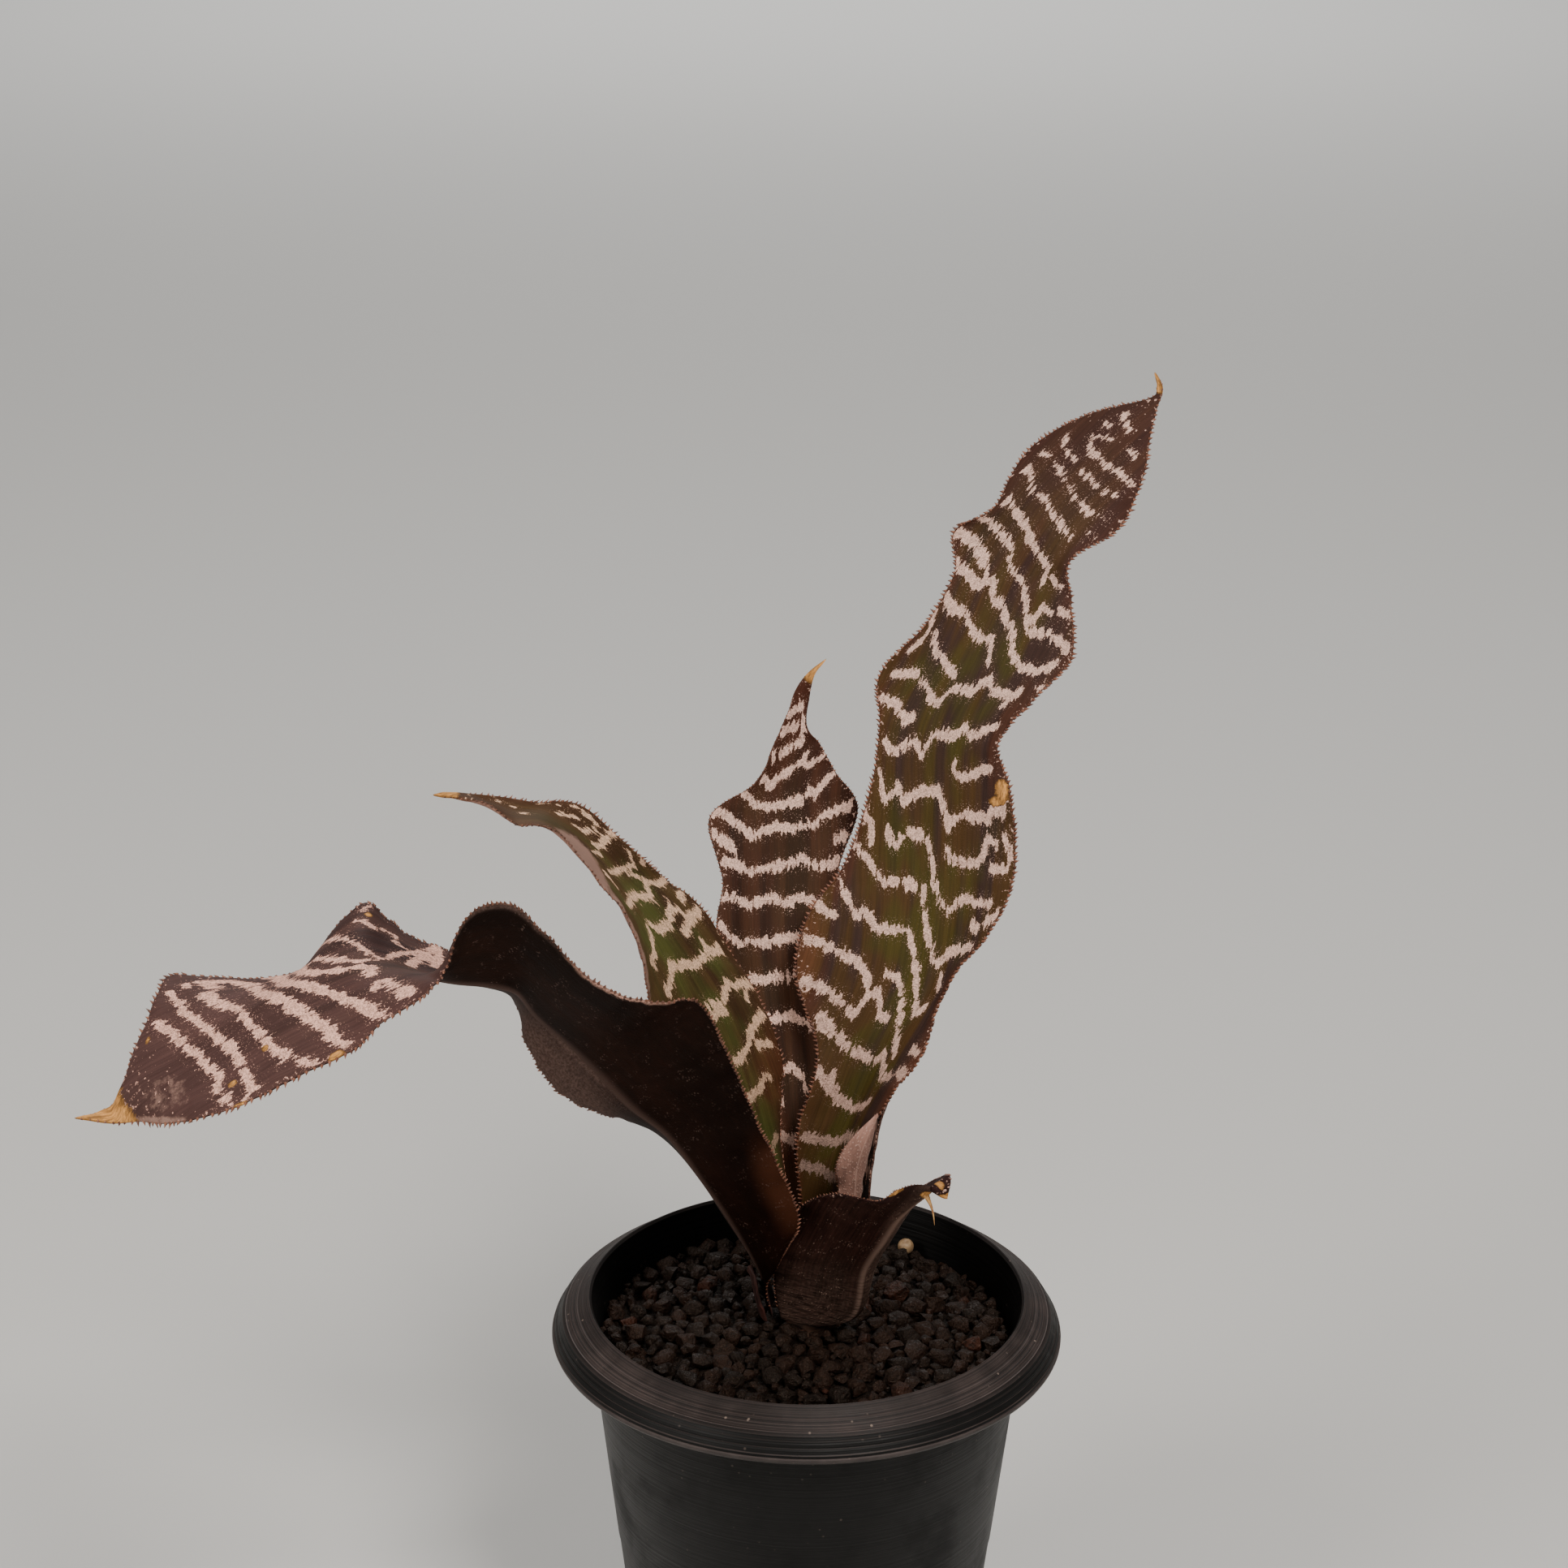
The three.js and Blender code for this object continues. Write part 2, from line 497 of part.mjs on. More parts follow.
/** Closed solid of a blade that runs to one tip point, with teeth on the margins in toothedSides. */
function bladeGeometry({ stations, cup, rowsPerStation, toothedSides = [-1, 1] }) {
  const blade = new Blade({ stations, cup });
  const rows = (stations.length - 1) * rowsPerStation;
  const columns = BLADE_COLUMNS;
  const positions = [];
  const index = [];
  const addPoint = (point) => {
    positions.push(point.x, point.y, point.z);
    return positions.length / 3 - 1;
  };
  const faces = [];
  for (let row = 0; row < rows; row += 1) {
    const along = row / rows;
    const line = [];
    for (let column = 0; column <= columns; column += 1) {
      const across = (2 * column) / columns - 1;
      const middle = blade.point(along, across);
      const normal = blade.normal(along, across);
      const thickness = THREE.MathUtils.lerp(BLADE_THICKNESS, MARGIN_THICKNESS, Math.abs(across));
      const lower = addPoint(middle.clone().addScaledVector(normal, thickness / 2));
      const upper = addPoint(middle.clone().addScaledVector(normal, -thickness / 2));
      line.push([lower, upper]);
    }
    faces.push(line);
  }
  const tip = addPoint(blade.point(1, 0));
  const addTriangle = (a, b, c, side) => {
    if (side > 0) {
      index.push(a, b, c);
    } else {
      index.push(a, c, b);
    }
  };
  for (let column = 0; column < columns; column += 1) {
    for (const [layer, side] of [[0, 1], [1, -1]]) {
      for (let row = 0; row < rows - 1; row += 1) {
        const a = faces[row][column][layer];
        const b = faces[row + 1][column][layer];
        const c = faces[row + 1][column + 1][layer];
        const d = faces[row][column + 1][layer];
        if (column < columns / 2) {
          addTriangle(a, b, d, side);
          addTriangle(b, c, d, side);
        } else {
          addTriangle(a, b, c, side);
          addTriangle(a, c, d, side);
        }
      }
      addTriangle(faces[rows - 1][column][layer], tip, faces[rows - 1][column + 1][layer], side);
    }
    const [lowerA, upperA] = faces[0][column];
    const [lowerB, upperB] = faces[0][column + 1];
    index.push(lowerA, lowerB, upperB, lowerA, upperB, upperA);
  }
  for (const [column, side] of [[0, -1], [columns, 1]]) {
    for (let row = 0; row < rows - 1; row += 1) {
      const [lowerA, upperA] = faces[row][column];
      const [lowerB, upperB] = faces[row + 1][column];
      if (!toothedSides.includes(side)) {
        addTriangle(lowerA, lowerB, upperB, side);
        addTriangle(lowerA, upperB, upperA, side);
        continue;
      }
      const along = (row + TOOTH_PLACE) / rows;
      const margin = blade.point(along, side);
      const outward = margin.clone().sub(blade.point(along, 0.6 * side));
      const reach = Math.min(1, outward.length() / FULL_TOOTH_WIDTH) * TOOTH_LENGTH;
      const tooth = addPoint(margin.addScaledVector(outward.normalize(), reach));
      addTriangle(lowerA, lowerB, tooth, side);
      addTriangle(lowerB, upperB, tooth, side);
      addTriangle(upperB, upperA, tooth, side);
      addTriangle(upperA, lowerA, tooth, side);
    }
    const [lowerLast, upperLast] = faces[rows - 1][column];
    addTriangle(lowerLast, tip, upperLast, side);
  }
  const geometry = new THREE.BufferGeometry();
  geometry.setAttribute('position', new THREE.Float32BufferAttribute(positions, 3));
  geometry.setIndex(index);
  return geometry;
}

/** Slim spine from a root sunk in the blade to a free tip. */
function spineGeometry({ root, tip }) {
  const from = new THREE.Vector3(...root);
  const to = new THREE.Vector3(...tip);
  const length = from.distanceTo(to);
  const spine = new THREE.ConeGeometry(SPINE_RADIUS, length, 6);
  spine.translate(0, length / 2, 0);
  const turn = new THREE.Quaternion().setFromUnitVectors(
    new THREE.Vector3(0, 1, 0),
    to.clone().sub(from).normalize(),
  );
  spine.applyQuaternion(turn);
  spine.translate(from.x, from.y, from.z);
  return spine;
}

/** Blade joined with its folded margin or its hanging spine, where it has one. */
function leafGeometry(leaf) {
  const blade = bladeGeometry(leaf);
  if (leaf.foldedMargin) {
    return toGeometry(toSolid(blade).add(toSolid(bladeGeometry(leaf.foldedMargin))));
  }
  if (leaf.hangingSpine) {
    return toGeometry(toSolid(blade).add(toSolid(spineGeometry(leaf.hangingSpine))));
  }
  return blade;
}

// ---------- feed pellet ----------
function pelletGeometry() {
  const [x, y] = PELLET_PLACE;
  const pellet = new THREE.IcosahedronGeometry(PELLET_RADIUS, 1);
  pellet.translate(x, y, soilLevel(x, y) + PELLET_LIFT + PELLET_RADIUS);
  return welded(pellet);
}

// ---------- assembly ----------
const group = new THREE.Group();
group.add(part('pot', potGeometry(), materials.plastic));
group.add(part('soil', soilGeometry(), materials.soil));
group.add(part('stem', stemGeometry(), materials.stem));
for (const leaf of LEAVES) {
  const material = leaf.name === 'dried_sheath' ? materials.driedLeaf : materials.leaf;
  group.add(part(leaf.name, leafGeometry(leaf), material));
}
group.add(part('feed_pellet', pelletGeometry(), materials.pellet));

export default group;
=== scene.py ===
"""Looks of a potted earth star bromeliad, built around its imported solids.

Six stiff, banded, finely toothed leaves spring from one short stem, which stands in granular potting mix in a
round black plastic pot. The plant's and the pot's sizes are written in millimetres and the studio's in
metres; every mesh is in metres in the frame's own axes.
"""

import logging
import math
from dataclasses import dataclass, field
from enum import Enum

import bmesh
import bpy
import numpy as np
from mathutils import Euler, Matrix, Vector, kdtree, noise


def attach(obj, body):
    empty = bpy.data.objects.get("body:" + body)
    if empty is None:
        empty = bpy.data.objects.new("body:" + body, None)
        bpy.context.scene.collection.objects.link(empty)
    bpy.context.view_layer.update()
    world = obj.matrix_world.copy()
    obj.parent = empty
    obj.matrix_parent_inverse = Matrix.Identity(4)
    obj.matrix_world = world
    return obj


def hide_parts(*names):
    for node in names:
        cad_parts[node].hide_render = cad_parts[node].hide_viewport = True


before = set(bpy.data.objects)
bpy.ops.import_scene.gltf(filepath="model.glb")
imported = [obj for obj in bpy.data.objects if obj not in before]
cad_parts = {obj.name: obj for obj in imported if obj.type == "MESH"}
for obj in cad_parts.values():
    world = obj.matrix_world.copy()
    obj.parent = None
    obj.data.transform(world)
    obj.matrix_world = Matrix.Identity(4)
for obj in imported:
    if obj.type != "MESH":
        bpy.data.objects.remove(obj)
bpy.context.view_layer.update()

log = logging.getLogger("bromeliad")

MM = 0.001
FULL_TURN = 2.0 * math.pi
TINY = 1e-9
ROOT = "root"
Point = tuple[float, float, float]
Colour = tuple[float, float, float]
Mesh = bmesh.types.BMesh
Piece = bpy.types.Object
Socket = bpy.types.NodeSocket
Sockets = bpy.types.NodeInputs
Outputs = bpy.types.NodeOutputs


# ---------------------------------------------------------------- shared mesh helpers
def smooth_step(value: np.ndarray, low: float, high: float) -> np.ndarray:
    """Eased ramp from 0 at low to 1 at high."""
    t = np.clip((value - low) / (high - low), 0.0, 1.0)
    return t * t * (3.0 - 2.0 * t)


def wander(values: np.ndarray, scale: float, seed: float) -> np.ndarray:
    """Smooth noise from about -1 to 1 along a row of lengths in millimetres.

    Args:
        values: Lengths in millimetres.
        scale: Length over which the noise changes.
        seed: Offset that picks another run of noise.

    Returns:
        One noise value for each length.
    """
    to_full_range = 1.6
    return to_full_range * np.array([noise.noise(Vector((v / scale, seed, 0.37 * seed))) for v in values])


def to_piece(
    bm: Mesh,
    name: str,
    material: bpy.types.Material,
    nodes: tuple[str, ...] = (),
    smooth: bool = True,
) -> Piece:
    """Turns a finished bmesh into a piece that rides on the root body.

    Args:
        bm: Mesh in metres, in place. It is freed.
        name: Name of the piece.
        material: Its material.
        nodes: Solids that the piece stands for.
        smooth: Whether its faces are shaded smooth.

    Returns:
        The new object.
    """
    mesh = bpy.data.meshes.new(name)
    for face in bm.faces:
        face.smooth = smooth
    bm.to_mesh(mesh)
    bm.free()
    mesh.materials.append(material)
    piece = bpy.data.objects.new(name, mesh)
    bpy.context.scene.collection.objects.link(piece)
    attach(piece, ROOT)
    if nodes:
        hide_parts(*nodes)
    return piece


def spun(profile: list[tuple[float, float]], steps: int) -> Mesh:
    """Closed solid of revolution about +Z.

    Args:
        profile: Radius and height of each point in millimetres, from the axis to the axis.
        steps: Number of segments round the axis.

    Returns:
        The bmesh, in metres, with its faces pointing out.
    """
    bm = bmesh.new()
    points = [bm.verts.new((radius * MM, 0.0, height * MM)) for radius, height in profile]
    edges = [bm.edges.new(pair) for pair in zip(points, points[1:])]
    bmesh.ops.spin(
        bm,
        geom=points + edges,
        axis=(0.0, 0.0, 1.0),
        cent=(0.0, 0.0, 0.0),
        steps=steps,
        angle=FULL_TURN,
        use_merge=True,
    )
    bmesh.ops.remove_doubles(bm, verts=bm.verts, dist=1e-6)
    bmesh.ops.recalc_face_normals(bm, faces=bm.faces)
    if bm.calc_volume(signed=True) < 0.0:
        bmesh.ops.reverse_faces(bm, faces=bm.faces)
    return bm


# ---------------------------------------------------------------- shader helpers
class Shade:
    """Thin wrapper that adds and links shader nodes of one tree."""

    def __init__(self, tree: bpy.types.NodeTree) -> None:
        """Keeps the tree that is being built."""
        self.tree = tree

    def node(self, kind: str, **settings: object) -> bpy.types.Node:
        """Adds a node and sets its properties.

        Args:
            kind: Blender's identifier of the node type.
            **settings: Property values of the node.

        Returns:
            The new node.
        """
        made = self.tree.nodes.new(kind)
        for key, value in settings.items():
            setattr(made, key, value)
        return made

    def feed(self, socket: Socket, value: object) -> None:
        """Links an output to a socket, or sets the socket's own value.

        Args:
            socket: Socket that is fed.
            value: Output or plain value.
        """
        if isinstance(value, Socket):
            self.tree.links.new(value, socket)
        elif value is not None:
            socket.default_value = value

    def math(self, operation: str, a: object, b: object = None) -> Socket:
        """Adds a Math node.

        Args:
            operation: Name of the operation.
            a: First value or output.
            b: Second value or output.

        Returns:
            The result.
        """
        made = self.node("ShaderNodeMath", operation=operation)
        self.feed(made.inputs[0], a)
        self.feed(made.inputs[1], b)
        return made.outputs[0]

    def plus(self, a: object, b: object) -> Socket:
        """Sum of two values or outputs."""
        return self.math("ADD", a, b)

    def minus(self, a: object, b: object) -> Socket:
        """Difference of two values or outputs."""
        return self.math("SUBTRACT", a, b)

    def times(self, a: object, b: object) -> Socket:
        """Product of two values or outputs."""
        return self.math("MULTIPLY", a, b)

    def most(self, a: object, b: object) -> Socket:
        """The larger of two values or outputs."""
        return self.math("MAXIMUM", a, b)

    def centred(self, value: object) -> Socket:
        """A value from 0 to 1, moved to lie about 0."""
        return self.minus(value, 0.5)

    def ramp(
        self, value: object, low: float, high: float, out_low: float = 0.0, out_high: float = 1.0
    ) -> Socket:
        """Eased remap of a value from one range to another.

        Args:
            value: The value or output.
            low: Input at which the result is out_low.
            high: Input at which the result is out_high.
            out_low: Result at low.
            out_high: Result at high.

        Returns:
            The remapped value.
        """
        made = self.node("ShaderNodeMapRange", interpolation_type="SMOOTHSTEP")
        self.feed(made.inputs["Value"], value)
        for key, number in (("From Min", low), ("From Max", high), ("To Min", out_low), ("To Max", out_high)):
            self.feed(made.inputs[key], number)
        return made.outputs["Result"]

    def mix(self, share: object, a: object, b: object) -> Socket:
        """Mixes two colours.

        Args:
            share: Share of the second colour.
            a: First colour.
            b: Second colour.

        Returns:
            The mixed colour.
        """
        made = self.node("ShaderNodeMix", data_type="RGBA", clamp_factor=True)
        self.feed(made.inputs["Factor"], share)
        self.feed(made.inputs[6], rgba(a))
        self.feed(made.inputs[7], rgba(b))
        return made.outputs[2]

    def noise(self, vector: object, scale: float, detail: float = 2.0, roughness: float = 0.5) -> Socket:
        """Adds a Noise texture and gives its factor.

        Args:
            vector: Coordinates.
            scale: Scale of the noise.
            detail: Number of octaves.
            roughness: Strength of the finer octaves.

        Returns:
            The factor output.
        """
        made = self.node("ShaderNodeTexNoise", noise_dimensions="3D")
        self.feed(made.inputs["Vector"], vector)
        self.feed(made.inputs["Scale"], scale)
        self.feed(made.inputs["Detail"], detail)
        self.feed(made.inputs["Roughness"], roughness)
        return made.outputs[0]

    def scaled(self, colour: object, factor: object) -> Socket:
        """Brightens or darkens a colour by a factor.

        Args:
            colour: Plain colour or output.
            factor: Number or output.

        Returns:
            The changed colour.
        """
        made = self.node("ShaderNodeVectorMath", operation="SCALE")
        self.feed(made.inputs[0], colour)
        self.feed(made.inputs["Scale"], factor)
        return made.outputs[0]

    def stretched(self, vector: object, scale: Point) -> Socket:
        """Scales coordinates by a different number along each axis.

        Args:
            vector: Output that holds the coordinates.
            scale: Number for each axis.

        Returns:
            The scaled coordinates.
        """
        made = self.node("ShaderNodeMapping")
        self.feed(made.inputs["Vector"], vector)
        made.inputs["Scale"].default_value = scale
        return made.outputs[0]

    def number(self, name: str) -> Socket:
        """Reads a mesh attribute that holds a number."""
        return self.node("ShaderNodeAttribute", attribute_name=name).outputs["Fac"]

    def vector(self, name: str) -> Socket:
        """Reads a mesh attribute that holds a vector."""
        return self.node("ShaderNodeAttribute", attribute_name=name).outputs["Vector"]

    def place(self) -> Socket:
        """Place in the frame's axes, in metres."""
        return self.node("ShaderNodeTexCoord").outputs["Object"]

    def parts(self, vector: object) -> Outputs:
        """Three parts of a vector.

        Args:
            vector: Output that holds the vector.

        Returns:
            Outputs named X, Y and Z.
        """
        apart = self.node("ShaderNodeSeparateXYZ")
        self.feed(apart.inputs[0], vector)
        return apart.outputs

    def radius(self) -> Socket:
        """Distance from the pot's axis in metres.

        Returns:
            The distance.
        """
        level = self.node("ShaderNodeVectorMath", operation="LENGTH")
        self.feed(level.inputs[0], self.stretched(self.place(), (1.0, 1.0, 0.0)))
        return level.outputs["Value"]


def rgba(colour: object) -> object:
    """Gives a plain colour its alpha, and passes an output through.

    Args:
        colour: Plain colour or a node's output.

    Returns:
        Four numbers, or the output as it was given.
    """
    if isinstance(colour, tuple) and len(colour) == 3:
        return (*colour, 1.0)
    return colour


def srgb(red: int, green: int, blue: int) -> Colour:
    """Linear colour from screen values of 0 to 255, by the sRGB standard's curve."""
    return tuple(((v / 255.0 + 0.055) / 1.055) ** 2.4 if v > 10 else v / 3294.6 for v in (red, green, blue))


class Kind(Enum):
    """Types of socket on a shared node group."""

    NUMBER = "NodeSocketFloat"
    VECTOR = "NodeSocketVector"


class Mark(Enum):
    """Local changes of a blade, each held in a mesh attribute of that name."""

    DRY = "dry"
    SCURF = "scurf"
    BLUSH = "blush"
    TURNED = "turned"
    FROST = "frost"


class SharedGroup:
    """A shader node group that several finishes use with their own values."""

    name = ""
    inputs: tuple[tuple[str, Kind, float], ...] = ()
    outputs: tuple[str, ...] = ()

    def build(self) -> bpy.types.NodeTree:
        """Builds the group once and gives it back after that.

        Returns:
            The shader node tree.
        """
        found = bpy.data.node_groups.get(self.name)
        if found:
            return found
        tree = bpy.data.node_groups.new(self.name, "ShaderNodeTree")
        for label, kind, default in self.inputs:
            socket = tree.interface.new_socket(label, in_out="INPUT", socket_type=kind.value)
            if kind is Kind.NUMBER:
                socket.default_value = default
        for label in self.outputs:
            tree.interface.new_socket(label, in_out="OUTPUT", socket_type=Kind.NUMBER.value)
        shade = Shade(tree)
        source = shade.node("NodeGroupInput")
        sink = shade.node("NodeGroupOutput")
        for label, value in self.fill(shade, source.outputs).items():
            shade.feed(sink.inputs[label], value)
        return tree

    def fill(self, shade: Shade, given: Outputs) -> dict[str, object]:
        """Adds the group's nodes.

        Args:
            shade: Wrapper of the group's tree.
            given: Outputs of the group's input node.

        Returns:
            The value of each output by name.
        """
        raise NotImplementedError

    def use(self, shade: Shade, **values: object) -> Outputs:
        """Places the group in a material.

        Args:
            shade: Wrapper of the material's tree.
            **values: Values or outputs for its inputs, by name with _ for a space.

        Returns:
            The outputs of the placed group.
        """
        placed = shade.node("ShaderNodeGroup")
        placed.node_tree = self.build()
        for key, value in values.items():
            shade.feed(placed.inputs[key.replace("_", " ")], value)
        return placed.outputs


class BandGroup(SharedGroup):
    """Ragged, granular cross bands from the distance to a band's middle line."""

    name = "cross_bands"
    inputs = (
        ("Distance", Kind.NUMBER, 5.0),
        ("Flat", Kind.VECTOR, 0.0),
    )
    outputs = ("Mask", "Grain", "Cloud")

    def fill(self, shade: Shade, given: Outputs) -> dict[str, object]:
        """Moves the band's edge by peaks that point along the blade, and breaks it into grains there.

        Args:
            shade: Where the group's nodes are added.
            given: The group's inputs.

        Returns:
            Each output's name with what feeds it.
        """
        wave = shade.centred(shade.noise(given["Flat"], 0.35, 1.0))
        drawn_out = shade.stretched(given["Flat"], (1.0, 0.28, 1.0))
        peaks = shade.centred(shade.noise(drawn_out, 1.5, 3.0, 0.7))
        moved = shade.plus(shade.times(wave, 0.8), shade.times(peaks, 2.1))
        reach = shade.plus(given["Distance"], moved)
        grain = shade.noise(given["Flat"], 4.2, 2.0, 0.65)
        cloud = shade.noise(given["Flat"], 1.5, 2.0, 0.6)
        density = shade.plus(shade.ramp(reach, 0.42, -0.36), shade.centred(grain))
        body = shade.ramp(density, 0.4, 0.6)
        near = shade.ramp(given["Distance"], 1.1, 0.1)
        halo = shade.times(near, shade.ramp(grain, 0.62, 0.68))
        mask = shade.most(body, shade.times(halo, 0.7))
        return {"Mask": mask, "Grain": grain, "Cloud": cloud}


class NerveGroup(SharedGroup):
    """Fine lengthwise nerves and streaks of a blade."""

    name = "blade_nerves"
    inputs = (("Flat", Kind.VECTOR, 0.0),)
    outputs = ("Streak", "Ridge")
    per_millimetre = 2.6

    def fill(self, shade: Shade, given: Outputs) -> dict[str, object]:
        """Reads noise that is drawn out along the blade.

        Args:
            shade: Where the group's nodes are added.
            given: The group's inputs.

        Returns:
            Each output's name with what feeds it.
        """
        fine = shade.stretched(given["Flat"], (1.0, 0.035, 1.0))
        broad = shade.stretched(given["Flat"], (0.1, 0.008, 0.1))
        ridge = shade.noise(fine, self.per_millimetre, 2.0, 0.6)
        streak = shade.noise(broad, self.per_millimetre, 2.0, 0.5)
        return {"Streak": streak, "Ridge": ridge}


class ScaleGroup(SharedGroup):
    """Tiny pale scales that lie on the lower face of a blade."""

    name = "leaf_scales"
    inputs = (("Flat", Kind.VECTOR, 0.0), ("Density", Kind.NUMBER, 0.5))
    outputs = ("Mask",)

    def fill(self, shade: Shade, given: Outputs) -> dict[str, object]:
        """Reads small cells and keeps some of them.

        Args:
            shade: Where the group's nodes are added.
            given: The group's inputs.

        Returns:
            Each output's name with what feeds it.
        """
        cells = shade.node("ShaderNodeTexVoronoi", feature="F1")
        shade.feed(cells.inputs["Vector"], shade.stretched(given["Flat"], (1.0, 0.6, 1.0)))
        cells.inputs["Scale"].default_value = 2.6
        patch = shade.noise(given["Flat"], 0.5, 3.0)
        dot = shade.ramp(cells.outputs["Distance"], 0.42, 0.12)
        kept = shade.ramp(shade.plus(patch, given["Density"]), 0.85, 1.15)
        return {"Mask": shade.times(dot, kept)}


class RingGroup(SharedGroup):
    """Fine turned rings of a lathe-cut mould, read from the radius and the height."""

    name = "turned_rings"
    inputs = (("Radius Scale", Kind.NUMBER, 4000.0), ("Height Scale", Kind.NUMBER, 1500.0))
    outputs = ("Relief", "Line")

    def fill(self, shade: Shade, given: Outputs) -> dict[str, object]:
        """Makes noise that is constant round the axis.

        Args:
            shade: Where the group's nodes are added.
            given: The group's inputs.

        Returns:
            Each output's name with what feeds it.
        """
        height = shade.parts(shade.place())["Z"]
        joined = shade.node("ShaderNodeCombineXYZ")
        shade.feed(joined.inputs["X"], shade.times(shade.radius(), given["Radius Scale"]))
        shade.feed(joined.inputs["Y"], shade.times(height, given["Height Scale"]))
        relief = shade.noise(joined.outputs[0], 1.0, 3.0, 0.65)
        return {"Relief": relief, "Line": shade.ramp(relief, 0.56, 0.7)}


class DustGroup(SharedGroup):
    """Specks and a thin film of pale dust."""

    name = "settled_dust"
    inputs = (("Amount", Kind.NUMBER, 0.5),)
    outputs = ("Film", "Specks")

    def fill(self, shade: Shade, given: Outputs) -> dict[str, object]:
        """Reads patches for the film and thresholded cells for the specks.

        Args:
            shade: Where the group's nodes are added.
            given: The group's inputs.

        Returns:
            Each output's name with what feeds it.
        """
        place = shade.place()
        film = shade.ramp(shade.noise(place, 90.0, 4.0, 0.6), 0.42, 0.75)
        cells = shade.node("ShaderNodeTexVoronoi", feature="F1")
        shade.feed(cells.inputs["Vector"], place)
        cells.inputs["Scale"].default_value = 650.0
        few = shade.ramp(shade.noise(place, 260.0, 1.0), 0.56, 0.66)
        specks = shade.times(shade.ramp(cells.outputs["Distance"], 0.2, 0.08), few)
        return {
            "Film": shade.times(film, given["Amount"]),
            "Specks": shade.times(specks, given["Amount"]),
        }


WARM_SHEEN = (1.0, 0.8, 0.68, 1.0)
BANDS = BandGroup()
NERVES = NerveGroup()
SCALES = ScaleGroup()
RINGS = RingGroup()
DUST = DustGroup()


@dataclass(frozen=True)
class Finish:
    """Base of every finish: a named Principled material."""

    name: str

    def make(self) -> bpy.types.Material:
        """Builds the material.

        Returns:
            The material, or the one built before under this name.
        """
        found = bpy.data.materials.get(self.name)
        if found:
            return found
        material = bpy.data.materials.new(self.name)
        material.use_nodes = True
        tree = material.node_tree
        tree.nodes.clear()
        shade = Shade(tree)
        shader = shade.node("ShaderNodeBsdfPrincipled")
        output = shade.node("ShaderNodeOutputMaterial")
        tree.links.new(shader.outputs[0], output.inputs["Surface"])
        self.dress(shade, shader.inputs)
        return material

    def dress(self, shade: Shade, sockets: Sockets) -> None:
        """Feeds the Principled shader's sockets."""
        raise NotImplementedError

    def bump(
        self, shade: Shade, height: object, strength: float, distance: float, under: object = None
    ) -> Socket:
        """Adds a Bump node.

        Args:
            shade: Wrapper of the material's tree.
            height: The height output.
            strength: Strength of the bump.
            distance: Height of the relief in metres.
            under: Normal that this relief lies on.

        Returns:
            The bumped normal.
        """
        made = shade.node("ShaderNodeBump")
        made.inputs["Strength"].default_value = strength
        made.inputs["Distance"].default_value = distance
        shade.feed(made.inputs["Height"], height)
        if under is not None:
            shade.feed(made.inputs["Normal"], under)
        return made.outputs[0]


class BladeShade(Shade):
    """Wrapper that also holds what every part of a blade's finish reads."""

    def __init__(self, tree: bpy.types.NodeTree, density: float) -> None:
        """Reads the blade's attributes and places its shared groups.

        Args:
            tree: Tree of the material.
            density: How densely scales cover the lower face where it carries no scurf.
        """
        super().__init__(tree)
        self.flat = self.vector("flat")
        self.along = self.number("along")
        self.across = self.number("across")
        self.apart = self.math("ABSOLUTE", self.across)
        self.upper = self.number("upper")
        self.scurf = self.mark(Mark.SCURF)
        self.nerves = NERVES.use(self, Flat=self.flat)
        self.bands = BANDS.use(self, Distance=self.number("band"), Flat=self.flat)
        dense = self.plus(self.times(self.scurf, 0.5), density)
        self.scales = SCALES.use(self, Flat=self.flat, Density=dense)["Mask"]

    def mark(self, mark: Mark) -> Socket:
        """Reads the strength of a mark."""
        return self.number(mark.value)

    def nerved(self, colour: object, furrow: float, nerve: float) -> Socket:
        """Scales a colour by one factor in the fine furrows and by another on the nerves."""
        return self.scaled(colour, self.ramp(self.nerves["Ridge"], 0.3, 0.7, furrow, nerve))


